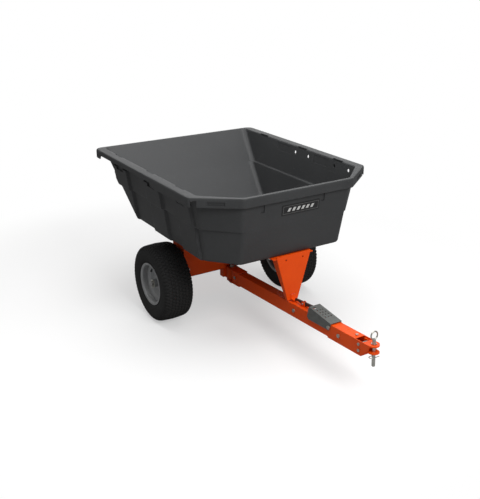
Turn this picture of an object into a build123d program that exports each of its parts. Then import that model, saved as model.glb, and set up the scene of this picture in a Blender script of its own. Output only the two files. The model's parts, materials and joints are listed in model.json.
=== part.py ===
from build123d import *
import math
import os

# Tow-behind swivel dump cart: a moulded tub on a steel saddle that tips about the axle,
# two pneumatic wheels, and a tongue that swivels on a kingpin just ahead of the axle.
# Millimetres. X points forward to the hitch, Y to the cart's left, Z up.
# The build frame has its origin on the ground under the axle; the written parts are moved
# along X so that the origin is the middle of the cart's footprint.

# ---- driving dimensions -------------------------------------------------------------------
TYRE_DIAMETER = 406.0
TYRE_WIDTH = 165.0
RIM_SEAT_DIAMETER = 203.2
WHEEL_TRACK = 793.0
AXLE_DIAMETER = 25.4

TUB_TOP = 811.0
TUB_DEPTH = 343.0
TUB_REAR = -557.0
TUB_FRONT = 649.0
TUB_WIDTH = 1013.0
TUB_FRONT_WIDTH = 610.0
TUB_CORNER_X = 497.0
TUB_WALL = 5.0
STEP_HEIGHT = 172.0
STEP_INSET = 12.0

TONGUE_WIDTH = 50.0
TONGUE_HEIGHT = 66.0
TONGUE_WALL = 3.0
TONGUE_SLOPE = 2.8
TONGUE_LENGTH = 930.0
DRAWBAR_LAP = 104.0
DRAWBAR_LENGTH = 286.0
HITCH_PIN_DIAMETER = 15.8
HITCH_PIN_LENGTH = 150.0

KINGPIN_X = 45.0
KINGPIN_DIAMETER = 19.0
SADDLE_WIDTH = 600.0
SADDLE_LENGTH = 120.0
SADDLE_SHEET = 3.0

# ---- named clearances ---------------------------------------------------------------------
RUNNING = 0.05
SLIDING = 0.3
SEAT_GAP = 0.1
SIDE_GAP = 0.5
BOLT_GAP = 0.2

# ---- worked-out heights and places --------------------------------------------------------
AXLE_Z = TYRE_DIAMETER / 2
TUB_BOTTOM = TUB_TOP - TUB_DEPTH
WHEEL_Y = WHEEL_TRACK / 2
HUB_LENGTH = 110.0
WASHER_SHEET = 3.0
TONGUE_START = KINGPIN_X + 43.0
TONGUE_TOP = AXLE_Z + 4.9
DRAWBAR_START = TONGUE_LENGTH - DRAWBAR_LAP
YOKE_SHEET = 6.0
STRUT_SHEET = 4.0
M10 = 10.0
M8 = 8.0


# ---- small helpers ------------------------------------------------------------------------
def box(x0, x1, y0, y1, z0, z1):
    """A block between two corners."""
    centre = Location(((x0 + x1) / 2, (y0 + y1) / 2, (z0 + z1) / 2))
    return centre * Box(x1 - x0, y1 - y0, z1 - z0)


def rod_z(x, y, z0, z1, radius):
    return Location((x, y, (z0 + z1) / 2)) * Cylinder(radius, z1 - z0)


def rod_y(x, z, y0, y1, radius):
    return Location((x, (y0 + y1) / 2, z)) * Rotation(90, 0, 0) * Cylinder(radius, abs(y1 - y0))


def rod_x(y, z, x0, x1, radius):
    return Location(((x0 + x1) / 2, y, z)) * Rotation(0, 90, 0) * Cylinder(radius, abs(x1 - x0))


def plate_y(points, y0, y1):
    """A plate from y0 to y1 whose outline is given in X and Z."""
    face = make_face(Polyline(*[(x, y0, z) for x, z in points], close=True).edges())
    return extrude(face, amount=y1 - y0, dir=(0, 1, 0))


def plate_z(points, z0, z1):
    """A plate from z0 to z1 whose outline is given in X and Y."""
    face = make_face(Polyline(*[(x, y, z0) for x, y in points], close=True).edges())
    return extrude(face, amount=z1 - z0, dir=(0, 0, 1))


def hex_z(x, y, z0, z1, across):
    prism = extrude(RegularPolygon(across / math.sqrt(3), 6), amount=z1 - z0)
    return Location((x, y, z0)) * prism


def hex_y(x, z, y0, y1, across):
    low = min(y0, y1)
    prism = extrude(RegularPolygon(across / math.sqrt(3), 6), amount=abs(y1 - y0))
    return Location((x, low, z)) * Rotation(-90, 0, 0) * prism


def ring_y(profile, y):
    """A turned part about the axle's line: the profile is (radius, distance along Y)."""
    face = make_face(Polyline(*[(r, a, 0) for r, a in profile], close=True).edges())
    return Location((0, y, AXLE_Z)) * revolve(face, axis=Axis.Y)


def group(solids):
    return Compound(children=[s for part in solids for s in part.solids()])


def mirror_y(part):
    return mirror(part, about=Plane.XZ)


# ---- tongue frame -------------------------------------------------------------------------
# Along the tongue, S is the distance from the tube's rear end and H the height over its top.
TONGUE_FRAME = Location((TONGUE_START, 0, TONGUE_TOP), (0, -TONGUE_SLOPE, 0))


def on_tongue(part):
    return TONGUE_FRAME * part


def tongue_point(s, h):
    """World X and Z of a point given along the tongue."""
    slope = math.radians(TONGUE_SLOPE)
    x = TONGUE_START + s * math.cos(slope) - h * math.sin(slope)
    return x, TONGUE_TOP + s * math.sin(slope) + h * math.cos(slope)


# ---- tub ----------------------------------------------------------------------------------
RIM_SHEET = 6.0
RIM_SHELF = 46.0
FRONT_SHELF = 18.0
SKIRT_DEPTH = 46.0
REAR_SKIRT_DEPTH = 26.0
SIDE_DRAFT = 50.0
REAR_SLOPE = 282.0
FRONT_DRAFT = 40.0
REAR_CUT = 20.0
PILASTER_X = (-331.0, 40.0, 345.0)
PILASTER_HALF = 85.0
PILASTER_DEPTH = 12.0
PILASTER_NECK = 4.0
PILASTER_SHOULDER = 60.0
REAR_SHELF = 7.0
UNDER_RIM = 3.0
CORNER_DRAFT = 40.0
CORNER_SHELF = 8.0
CORNER_SHARE = 0.42
FRONT_SIDE_DRAFT = 12.0
FRONT_SIDE_SHELF = 4.0
FRONT_SIDE_SHARE = 0.5
REAR_CUT_DRAFT = 6.0
DEEP_SKIRT_FROM = 130.0
REAR_CORNER_SKIRT = 80.0
POCKET_LENGTH = 80.0
POCKET_WIDTH = 10.0
TIE_HOLES_X = (-14.0, 102.0, 326.0, 438.0)
TIE_HOLE_DIAMETER = 18.0
TIE_HOLE_DROP = 34.0
GRIP_SLOT_LENGTH = 80.0
GRIP_SLOT_HEIGHT = 16.0
STEP_SHARE = STEP_HEIGHT / TUB_DEPTH


def outline(rear, front, corner, half_width, half_front, cut):
    """The tub's eight-cornered plan, from the rear right corner round to the rear left."""
    right = [(rear, cut - half_width), (rear + cut, -half_width), (corner, -half_width), (front, -half_front)]
    left = [(x, -y) for x, y in reversed(right)]
    return right + left


def tub_section(share, inset, proud=0.0, drawn=0.0):
    """The plan at a share of the depth (0 at the floor, 1 under the rim), shrunk by inset.

    The two side walls stand further out by proud. Below the step the sides are drawn in by
    drawn, and the front and rear walls run from nothing at the step to drawn at the floor.
    """
    rise = 1 - share
    ends = inset + drawn * (1 - share / STEP_SHARE)
    sides = inset + drawn
    rear = TUB_REAR + REAR_SHELF + REAR_SLOPE * rise + ends
    front = TUB_FRONT - FRONT_SHELF + UNDER_RIM - FRONT_DRAFT * rise - ends
    corner = TUB_CORNER_X - CORNER_SHELF - CORNER_DRAFT * rise - sides * CORNER_SHARE
    half_width = TUB_WIDTH / 2 - RIM_SHELF - SIDE_DRAFT * rise - sides + proud
    half_front = TUB_FRONT_WIDTH / 2 - FRONT_SIDE_SHELF - FRONT_SIDE_DRAFT * rise - sides * FRONT_SIDE_SHARE
    return outline(rear, front, corner, half_width, half_front, REAR_CUT - REAR_CUT_DRAFT * rise)


def tub_block(inset, floor, top, step_up=0.0, proud=0.0):
    """The tub's filled shape: a lower part drawn in at the step, and an upper part."""
    step_z = TUB_BOTTOM + STEP_HEIGHT + step_up
    low = [(0.0, floor, STEP_INSET), (STEP_SHARE, step_z, STEP_INSET)]
    high = [(STEP_SHARE, step_z, 0.0), (1.0, top, 0.0)]
    blocks = []
    for levels in (low, high):
        faces = []
        for share, z, drawn in levels:
            points = [(x, y, z) for x, y in tub_section(share, inset, proud, drawn)]
            faces.append(make_face(Polyline(*points, close=True).edges()))
        blocks.append(loft(faces, ruled=True))
    return blocks[0] + blocks[1]


def rim_outline(inset):
    return outline(TUB_REAR + inset, TUB_FRONT - inset, TUB_CORNER_X - inset * CORNER_SHARE,
                   TUB_WIDTH / 2 - inset, TUB_FRONT_WIDTH / 2 - inset * FRONT_SIDE_SHARE, REAR_CUT)


def tub_pilasters():
    """Raised bands on both side walls, which follow the walls' draft and narrow under the rim."""
    proud = tub_block(0, TUB_BOTTOM, TUB_TOP - RIM_SHEET, proud=PILASTER_DEPTH)
    shoulder = TUB_TOP - PILASTER_SHOULDER
    neck = POCKET_LENGTH / 2 + PILASTER_NECK
    bands = []
    for x in PILASTER_X:
        mould = box(x - PILASTER_HALF, x + PILASTER_HALF, -TUB_WIDTH, TUB_WIDTH, TUB_BOTTOM, shoulder)
        mould += box(x - neck, x + neck, -TUB_WIDTH, TUB_WIDTH, shoulder, TUB_TOP)
        bands.append(proud & mould)
    return bands


def tub_skirt():
    """The lip that hangs from the rim: deep round the front half and rear corners, shallow behind."""
    ring = plate_z(rim_outline(0), TUB_TOP - SKIRT_DEPTH, TUB_TOP)
    ring -= plate_z(rim_outline(TUB_WALL), TUB_TOP - SKIRT_DEPTH, TUB_TOP)
    low, high = TUB_TOP - SKIRT_DEPTH, TUB_TOP - REAR_SKIRT_DEPTH
    deep_rear = TUB_REAR + REAR_CORNER_SKIRT
    ring -= box(deep_rear, DEEP_SKIRT_FROM, -TUB_WIDTH, TUB_WIDTH, low, high)
    half_rear = TUB_WIDTH / 2 - REAR_CUT
    ring -= box(TUB_REAR - 1, deep_rear, -half_rear, half_rear, low, high)
    return ring


def grip_slots():
    """Slots through the skirt on the two front chamfers."""
    front = Vector(TUB_FRONT, TUB_FRONT_WIDTH / 2, TUB_TOP - 26)
    side = Vector(TUB_CORNER_X, TUB_WIDTH / 2, TUB_TOP - 26)
    angle = math.degrees(math.atan2(side.Y - front.Y, side.X - front.X))
    middle = (front + side) * 0.5
    tool = Location((middle.X, middle.Y, middle.Z), (0, 0, angle)) * Box(GRIP_SLOT_LENGTH, 16, GRIP_SLOT_HEIGHT)
    return [tool, mirror_y(tool)]


def tub_shell():
    shell = tub_block(0, TUB_BOTTOM, TUB_TOP) - rest_above_rim()
    for band in tub_pilasters():
        shell += band
    shelf = plate_z(rim_outline(0), TUB_TOP - RIM_SHEET, TUB_TOP)
    shell = shell + shelf + tub_skirt()
    hollow_top = TUB_TOP + 1
    shell -= tub_block(TUB_WALL, TUB_BOTTOM + TUB_WALL, hollow_top, step_up=TUB_WALL)
    shell -= plate_z(tub_section(1.0, TUB_WALL), TUB_TOP - RIM_SHEET - 1, TUB_TOP + 2)
    half_inner = TUB_WIDTH / 2 - RIM_SHELF - TUB_WALL
    for x in PILASTER_X:
        x0 = x - POCKET_LENGTH / 2
        for side in (1, -1):
            y0, y1 = sorted((side * (half_inner - 1), side * (half_inner + POCKET_WIDTH)))
            shell -= box(x0, x0 + POCKET_LENGTH, y0, y1, TUB_TOP - 80, TUB_TOP + 1)
    for x in TIE_HOLES_X:
        shell -= rod_y(x, TUB_TOP - TIE_HOLE_DROP, -TUB_WIDTH / 2 + 8, TUB_WIDTH / 2 - 8, TIE_HOLE_DIAMETER / 2)
    for tool in grip_slots():
        shell -= tool
    for x, y in tub_bolt_places() + strut_bolt_places():
        shell -= rod_z(x, y, TUB_BOTTOM - 1, TUB_BOTTOM + TUB_WALL + 1, M8 / 2 + BOLT_GAP)
    return shell


def rest_above_rim():
    """What the filled tub shape would leave over the rim."""
    return box(TUB_REAR - 50, TUB_FRONT + 50, -TUB_WIDTH, TUB_WIDTH, TUB_TOP, TUB_TOP + 50)


# ---- name plate on the front wall ---------------------------------------------------------
NAME_PLATE_WIDTH = 214.0
NAME_PLATE_HEIGHT = 52.0
NAME_PLATE_SHEET = 2.0
NAME_PLATE_Y = 20.0
NAME_PLATE_Z = TUB_TOP - 101.0


def front_wall_x(z):
    """The front wall's outer face above the step."""
    rise = (z - TUB_BOTTOM - STEP_HEIGHT) / (TUB_DEPTH - STEP_HEIGHT)
    top = tub_section(1.0, 0)[3][0]
    foot = tub_section(STEP_SHARE, 0)[3][0]
    return foot + (top - foot) * rise


def name_plate():
    """A blank plate that lies on the leaning front wall."""
    low, high = NAME_PLATE_Z - NAME_PLATE_HEIGHT / 2, NAME_PLATE_Z + NAME_PLATE_HEIGHT / 2
    inner = [(front_wall_x(z) + SEAT_GAP, z) for z in (low, high)]
    outer = [(x + NAME_PLATE_SHEET, z) for x, z in reversed(inner)]
    half = NAME_PLATE_WIDTH / 2
    return plate_y(inner + outer, NAME_PLATE_Y - half, NAME_PLATE_Y + half)


# ---- saddle under the tub -----------------------------------------------------------------
SADDLE_FRONT_DROP = 17.0
SADDLE_REAR_DROP = -13.0
NOTCH_HALF = 58.0
NOTCH_TOP = AXLE_Z + 47.0
HANGER_SHEET = 5.0
HANGER_FOOT = 27.0
BUSH_WALL = 3.0
BUSH_FLANGE = 1.5


def tub_bolt_places():
    """Bolts through the tub floor into the saddle's top."""
    return [(x, y) for x in (-35.0, 35.0) for y in (-230.0, -90.0, 90.0, 230.0)]


def axle_saddle():
    """Folded sheet over the axle: a top and two hanging faces, arched over the swivel."""
    half = SADDLE_LENGTH / 2
    top = TUB_BOTTOM - SEAT_GAP
    side = SADDLE_WIDTH / 2
    saddle = box(-half, half, -side, side, top - SADDLE_SHEET, top)
    saddle += box(half - SADDLE_SHEET, half, -side, side, AXLE_Z + SADDLE_FRONT_DROP, top)
    saddle += box(-half, SADDLE_SHEET - half, -side, side, AXLE_Z + SADDLE_REAR_DROP, top)
    saddle -= box(-half - 1, half + 1, -NOTCH_HALF, NOTCH_HALF, AXLE_Z - 60, NOTCH_TOP)
    for x, y in tub_bolt_places():
        saddle -= rod_z(x, y, top - SADDLE_SHEET - 1, top + 1, M8 / 2 + BOLT_GAP)
    for y, z in hanger_bolt_places():
        saddle -= rod_x(y, z, -half - 1, half + 1, M8 / 2 + BOLT_GAP)
        saddle -= rod_x(-y, z, -half - 1, half + 1, M8 / 2 + BOLT_GAP)
    return saddle


def hanger_bolt_places():
    side = SADDLE_WIDTH / 2
    return [(side - 24.0, AXLE_Z + 60.0), (side - 24.0, TUB_BOTTOM - 40.0)]


def hanger():
    """Left-hand end bracket: a web across the saddle's end with a flange on each face."""
    half = SADDLE_LENGTH / 2 - SADDLE_SHEET - SEAT_GAP
    side = SADDLE_WIDTH / 2
    top = TUB_BOTTOM - SEAT_GAP - SADDLE_SHEET - SEAT_GAP
    web = [(-half, top), (half, top), (half, AXLE_Z + 20), (22, AXLE_Z - HANGER_FOOT),
           (-22, AXLE_Z - HANGER_FOOT), (-half, AXLE_Z + 20)]
    part = plate_y(web, side - HANGER_SHEET, side)
    for x0, x1 in ((half - 4, half), (-half, 4 - half)):
        part += box(x0, x1, side - 50, side - 1, AXLE_Z + 24, top)
    part -= rod_y(0, AXLE_Z, side - 60, side + 10, AXLE_DIAMETER / 2 + RUNNING + BUSH_WALL + SEAT_GAP)
    for y, z in hanger_bolt_places():
        part -= rod_x(y, z, -half - 1, half + 1, M8 / 2 + BOLT_GAP)
    return part


def hanger_bushes():
    """Plain flanged bushes in the two hangers, running on the axle."""
    bore = AXLE_DIAMETER / 2 + RUNNING
    side = SADDLE_WIDTH / 2
    profile = [(bore, -HANGER_SHEET - 2), (bore + BUSH_WALL, -HANGER_SHEET - 2), (bore + BUSH_WALL, SEAT_GAP),
               (bore + BUSH_WALL + 6, SEAT_GAP), (bore + BUSH_WALL + 6, SEAT_GAP + BUSH_FLANGE),
               (bore, SEAT_GAP + BUSH_FLANGE)]
    bush = ring_y(profile, side)
    return group([bush, mirror_y(bush)])


def hanger_bolts():
    """Short bolts with their nuts through each saddle face and hanger flange."""
    half = SADDLE_LENGTH / 2
    bolts = []
    for y, z in hanger_bolt_places():
        for sign in (1, -1):
            shank = rod_x(y, z, sign * (half - 18), sign * half, M8 / 2)
            head = Location((sign * half, y, z)) * Rotation(0, sign * 90, 0) * extrude(
                RegularPolygon(13 / math.sqrt(3), 6), amount=5.3)
            nut = Location((sign * (half - SADDLE_SHEET - 4.3), y, z)) * Rotation(0, -sign * 90, 0) * extrude(
                RegularPolygon(13 / math.sqrt(3), 6), amount=6.5)
            bolt = shank + head + nut
            bolts += [bolt, mirror_y(bolt)]
    return group(bolts)


def floor_bolts(places, sheet):
    """Domed carriage bolts through the tub floor with nuts under the bracket."""
    bolts = []
    inside = TUB_BOTTOM + TUB_WALL
    under = TUB_BOTTOM - SEAT_GAP - sheet
    for x, y in places:
        shank = rod_z(x, y, under - 11, inside, M8 / 2)
        head = rod_z(x, y, inside, inside + 1.6, 9.5) + rod_z(x, y, inside + 1.6, inside + 4, 6.5)
        bolts.append(shank + head)
    return group(bolts)


def floor_nuts(places, sheet):
    nuts = []
    under = TUB_BOTTOM - SEAT_GAP - sheet
    for x, y in places:
        nut = rod_z(x, y, under - 1.6, under, 9) + hex_z(x, y, under - 8.4, under - 1.6, 13)
        nuts.append(nut - rod_z(x, y, under - 12, under + 1, M8 / 2 + RUNNING))
    return group(nuts)


# ---- front strut and latch striker --------------------------------------------------------
STRUT_FACE_X = TUB_FRONT - 43.0
STRUT_TOP_HALF = 97.0
STRUT_FOOT_HALF = 30.0
STRUT_FOOT_GAP = 4.0
STRUT_LIP = 9.0
STRIKER_REACH = 24.0
STRIKER_SHEET = 6.0
STRUT_FLANGE_TOP = 44.0
STRUT_FLANGE_FOOT = 12.0
STRUT_EAR_HALF = 116.0
STRUT_EAR_LENGTH = 76.0
STRUT_BOLTS_BACK = 50.0
STRUT_BOLTS_Y = (-106.0, -50.0, 50.0, 106.0)
STRUT_HOLES_Y = (-43.0, 54.0)
STRUT_HOLES_DROP = 16.0
STRUT_HOLE_RADIUS = 4.5


def strut_bolt_places():
    return [(STRUT_FACE_X - STRUT_BOLTS_BACK, y) for y in STRUT_BOLTS_Y]


def strut_foot_z():
    slope = math.tan(math.radians(TONGUE_SLOPE))
    return TONGUE_TOP + slope * (STRUT_FACE_X + STRIKER_REACH - TONGUE_START) + STRUT_FOOT_GAP


def strut():
    """Folded strut: a tapered front web, two side flanges and a top flange under the tub."""
    top = TUB_BOTTOM - SEAT_GAP
    foot = strut_foot_z()
    x1, x0 = STRUT_FACE_X, STRUT_FACE_X - STRUT_SHEET
    outline_yz = [(-STRUT_TOP_HALF, top), (-STRUT_FOOT_HALF, foot), (STRUT_FOOT_HALF, foot), (STRUT_TOP_HALF, top)]
    lip = TUB_BOTTOM + STRUT_LIP
    web_yz = outline_yz + [(STRUT_TOP_HALF, lip), (-STRUT_TOP_HALF, lip)]
    web = extrude(make_face(Polyline(*[(x0, y, z) for y, z in web_yz], close=True).edges()),
                  amount=STRUT_SHEET, dir=(1, 0, 0))
    lean = (STRUT_TOP_HALF - STRUT_FOOT_HALF) / (top - foot)
    shift = STRUT_SHEET * math.hypot(1, lean)
    flange_xz = [(x1, top), (x0 - STRUT_FLANGE_TOP, top), (x0 - STRUT_FLANGE_FOOT, foot), (x1, foot)]
    slab = extrude(make_face(Polyline(*[(x, -STRUT_TOP_HALF, z) for x, z in flange_xz], close=True).edges()),
                   amount=2 * STRUT_TOP_HALF, dir=(0, 1, 0))
    wedge = extrude(make_face(Polyline(*[(x1 - 80, y, z) for y, z in outline_yz], close=True).edges()),
                    amount=90, dir=(1, 0, 0))
    inner = [(-STRUT_TOP_HALF + shift, top), (-STRUT_FOOT_HALF + shift, foot), (STRUT_FOOT_HALF - shift, foot),
             (STRUT_TOP_HALF - shift, top)]
    core = extrude(make_face(Polyline(*[(x1 - 81, y, z) for y, z in inner], close=True).edges()),
                   amount=92, dir=(1, 0, 0))
    part = web + (slab & wedge) - (core - box(x0, x1 + 20, -200, 200, 0, TUB_TOP))
    part += box(x1 - STRUT_EAR_LENGTH, x0, -STRUT_EAR_HALF, STRUT_EAR_HALF, top - STRUT_SHEET, top)
    for x, y in strut_bolt_places():
        part -= rod_z(x, y, top - STRUT_SHEET - 1, top + 1, M8 / 2 + BOLT_GAP)
    for y in STRUT_HOLES_Y:
        part -= rod_x(y, top - STRUT_HOLES_DROP, x0 - 1, x1 + 1, STRUT_HOLE_RADIUS)
    return part


def latch_striker():
    """The toe on the strut's foot that the latch pawl catches."""
    foot = strut_foot_z() + 3
    x0 = STRUT_FACE_X + SEAT_GAP
    toe = box(x0, STRUT_FACE_X + STRIKER_REACH, -12, 12, foot, foot + STRIKER_SHEET)
    toe += box(x0, x0 + 5, -12, 12, foot, foot + 26)
    return toe


# ---- axle and swivel ----------------------------------------------------------------------
BLOCK_HALF = 34.0
BLOCK_BACK = -25.0
BOSS_RADIUS = 22.0
THRUST_SHEET = 1.5


def yoke_levels():
    """Inner faces of the yoke's lower and upper plates."""
    return TONGUE_TOP - TONGUE_HEIGHT, TONGUE_TOP


def axle_end():
    return WHEEL_Y + HUB_LENGTH / 2 + 16.0


def axle_shaft():
    """Solid axle with a cross hole for the split pin near each end."""
    end = axle_end()
    shaft = rod_y(0, AXLE_Z, -end, end, AXLE_DIAMETER / 2)
    shaft = chamfer(shaft.edges().filter_by(GeomType.CIRCLE), 1.5)
    for y in (-end + 8, end - 8):
        shaft -= rod_z(0, y, AXLE_Z - 20, AXLE_Z + 20, 2.6)
    shaft -= rod_z(0, 0, AXLE_Z + 4, AXLE_Z + 20, M10 / 2 + BOLT_GAP)
    return shaft


def swivel_block():
    """Cast block clamped to the axle, with the kingpin boss ahead of it."""
    low, high = yoke_levels()
    low_face = low + THRUST_SHEET + 2 * SEAT_GAP
    high_face = high - THRUST_SHEET - 2 * SEAT_GAP
    back = box(BLOCK_BACK, KINGPIN_X - 31.5, -BLOCK_HALF, BLOCK_HALF, low_face, AXLE_Z + AXLE_DIAMETER)
    back = fillet(back.edges().filter_by(Axis.Y), 6)
    neck = box(0, KINGPIN_X, -BOSS_RADIUS, BOSS_RADIUS, low_face, high_face)
    block = back + neck + rod_z(KINGPIN_X, 0, low_face, high_face, BOSS_RADIUS)
    block -= rod_y(0, AXLE_Z, -BLOCK_HALF - 1, BLOCK_HALF + 1, AXLE_DIAMETER / 2 + RUNNING)
    block -= rod_z(KINGPIN_X, 0, low_face - 1, high_face + 1, KINGPIN_DIAMETER / 2 + RUNNING)
    block -= rod_z(0, 0, AXLE_Z, AXLE_Z + 60, M10 / 2 + BOLT_GAP)
    return block


def axle_lock_bolt():
    """Bolt down through the block into the axle, which keeps the axle from turning."""
    seat = AXLE_Z + AXLE_DIAMETER
    return rod_z(0, 0, AXLE_Z + 5, seat + 1, M10 / 2) + hex_z(0, 0, seat + 0.1, seat + 6.5, 17)


def kingpin():
    low, high = yoke_levels()
    top = high + YOKE_SHEET
    bottom = low - YOKE_SHEET
    pin = rod_z(KINGPIN_X, 0, bottom - 20, top + 1, KINGPIN_DIAMETER / 2)
    return pin + hex_z(KINGPIN_X, 0, top + 0.1, top + 10, 28)


def kingpin_nut():
    bottom = yoke_levels()[0] - YOKE_SHEET
    nut = hex_z(KINGPIN_X, 0, bottom - 15, bottom - 1, 28) + rod_z(KINGPIN_X, 0, bottom - 3, bottom - SEAT_GAP, 18)
    return nut - rod_z(KINGPIN_X, 0, bottom - 30, bottom + 1, KINGPIN_DIAMETER / 2 + RUNNING)


def thrust_washers():
    low, high = yoke_levels()
    washers = []
    for z in (low + SEAT_GAP, high - SEAT_GAP - THRUST_SHEET):
        washer = rod_z(KINGPIN_X, 0, z, z + THRUST_SHEET, 19)
        washers.append(washer - rod_z(KINGPIN_X, 0, z - 1, z + 4, KINGPIN_DIAMETER / 2 + RUNNING))
    return group(washers)


def axle_spacers():
    """Tubes on the axle between the hangers and the wheel hubs."""
    y0 = SADDLE_WIDTH / 2 + 2 * SEAT_GAP + BUSH_FLANGE + SLIDING
    y1 = WHEEL_Y - HUB_LENGTH / 2 - 2.0 - SLIDING
    bore = AXLE_DIAMETER / 2 + RUNNING
    tube = ring_y([(bore, y0), (bore + 5, y0), (bore + 5, y1), (bore, y1)], 0)
    return group([tube, mirror_y(tube)])


def axle_washers():
    y0 = WHEEL_Y + HUB_LENGTH / 2 + 2.0 + SLIDING
    bore = AXLE_DIAMETER / 2 + RUNNING
    washer = ring_y([(bore, y0), (bore + 10, y0), (bore + 10, y0 + WASHER_SHEET), (bore, y0 + WASHER_SHEET)], 0)
    return group([washer, mirror_y(washer)])


def split_pins():
    """Split pins through the axle ends: an eye above and two spread legs below."""
    y = axle_end() - 8
    top = AXLE_Z + AXLE_DIAMETER / 2
    bottom = AXLE_Z - AXLE_DIAMETER / 2
    pin = rod_z(0, y, bottom - 8, top + 3, 2.2)
    pin += Location((0, y, top + 6)) * Rotation(90, 0, 0) * Torus(4.0, 1.6)
    leg = Location((4, y, bottom - 6)) * Rotation(0, -35, 0) * Cylinder(1.5, 14)
    pin += leg + mirror(leg, about=Plane.YZ)
    return group([pin, mirror_y(pin)])


# ---- wheels -------------------------------------------------------------------------------
RIM_SHEET_STEEL = 2.5
RIM_LIP = 12.5
HUB_RADIUS = 21.0
DISC_OUT = 41.0


def tyre(y):
    """Hollow tyre: profile in radius and distance across, closed over both beads."""
    seat = RIM_SEAT_DIAMETER / 2 + SEAT_GAP
    crown = TYRE_DIAMETER / 2
    half = TYRE_WIDTH / 2
    height = crown - seat
    outer = [(seat, 64), (seat + 2.5, 68.5), (seat + 13, 70), (seat + 0.30 * height, half - 3), (seat + 0.52 * height, half),
             (seat + 0.76 * height, half - 2), (crown - 9, half - 7), (crown - 2, half - 20), (crown, half - 45)]
    inner = [(seat, 55), (seat + 13, 57), (seat + 0.34 * height, half - 12), (seat + 0.55 * height, half - 10),
             (crown - 20, half - 17), (crown - 14, half - 40)]
    ring = outer + [(r, -a) for r, a in reversed(outer)]
    core = inner + [(r, -a) for r, a in reversed(inner)]
    return ring_y(ring, y) - ring_y(core, y) - ring_y([(seat - 1, 55), (seat + 0.01, 55), (seat + 0.01, -55),
                                                       (seat - 1, -55)], y)


def rim(y):
    """Rolled barrel with a lip each side and a dropped middle."""
    seat = RIM_SEAT_DIAMETER / 2
    sheet = RIM_SHEET_STEEL
    outer = [(seat + RIM_LIP, 75.5), (seat + RIM_LIP, 72), (seat + 1, 69.5), (seat, 66), (seat, 34), (seat - 13, 22)]
    inner = [(seat - 13 - sheet, 21), (seat - sheet, 33), (seat - sheet, 68), (seat - 1, 72),
             (seat + RIM_LIP - 3, 75.5)]
    half_ring = outer + [(r, -a) for r, a in reversed(outer)]
    return ring_y(half_ring + [(r, -a) for r, a in reversed(inner)] + inner, y)


def wheel_disc(y, side):
    """Pressed disc between the hub and the barrel, dished, with a valve slot and four holes."""
    seat = RIM_SEAT_DIAMETER / 2 - RIM_SHEET_STEEL - SEAT_GAP
    sheet = RIM_SHEET_STEEL
    hub = HUB_RADIUS + SEAT_GAP
    face = [(hub, DISC_OUT), (38, DISC_OUT), (50, DISC_OUT - 7), (78, DISC_OUT - 7), (86, DISC_OUT + 2),
            (seat, DISC_OUT + 2), (seat, DISC_OUT + 2 - sheet), (87, DISC_OUT + 2 - sheet),
            (79, DISC_OUT - 7 - sheet), (49, DISC_OUT - 7 - sheet), (37, DISC_OUT - sheet),
            (hub, DISC_OUT - sheet)]
    disc = ring_y([(r, side * a) for r, a in face], y)
    y0, y1 = sorted((y + side * (DISC_OUT - 20), y + side * (DISC_OUT + 12)))
    slot = rod_y(-8, AXLE_Z + 66, y0, y1, 8) + rod_y(8, AXLE_Z + 66, y0, y1, 8)
    slot += box(-8, 8, y0, y1, AXLE_Z + 58, AXLE_Z + 74)
    return disc - slot


def hub(y):
    bore = AXLE_DIAMETER / 2 + 4.1
    half = HUB_LENGTH / 2
    return ring_y([(bore, -half), (HUB_RADIUS, -half), (HUB_RADIUS, half), (bore, half)], y)


def hub_bushes(y):
    """Two flanged bushes pressed into the hub, running on the axle."""
    bore = AXLE_DIAMETER / 2 + RUNNING
    outside = AXLE_DIAMETER / 2 + 4.0
    half = HUB_LENGTH / 2
    profile = [(bore, half - 28), (outside, half - 28), (outside, half + SEAT_GAP),
               (HUB_RADIUS - 1, half + SEAT_GAP), (HUB_RADIUS - 1, half + 2), (bore, half + 2)]
    outer = ring_y(profile, y)
    inner = ring_y([(r, -a) for r, a in profile], y)
    return group([outer, inner])


def valve_stem(y, side):
    """Rubber valve that leans out through the barrel, with its cap."""
    seat = RIM_SEAT_DIAMETER / 2 - RIM_SHEET_STEEL
    base = Location((0, y + side * 52, AXLE_Z + seat - 0.3), (side * 25, 0, 0))
    stem = base * Location((0, 0, -14)) * Cylinder(4.0, 26) + base * Location((0, 0, -31)) * Cylinder(5.2, 9)
    return stem - ring_y([(seat - 0.2, -80), (seat + 40, -80), (seat + 40, 80), (seat - 0.2, 80)], y)


# ---- tongue -------------------------------------------------------------------------------
YOKE_HALF = 28.0
YOKE_LAP = 70.0
CROSS_BOLT_S = (30.0, 565.0, TONGUE_LENGTH - 25.0)
CROSS_BOLT_H = -30.0
PEDAL_PIVOT_S = DRAWBAR_START + 12.0
PEDAL_PIVOT_H = -14.0
PAWL_PIVOT_S = 612.0
PAWL_PIVOT_H = 16.0


def drawbar_half():
    return TONGUE_WIDTH / 2 + BOLT_GAP + TONGUE_WALL


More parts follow.
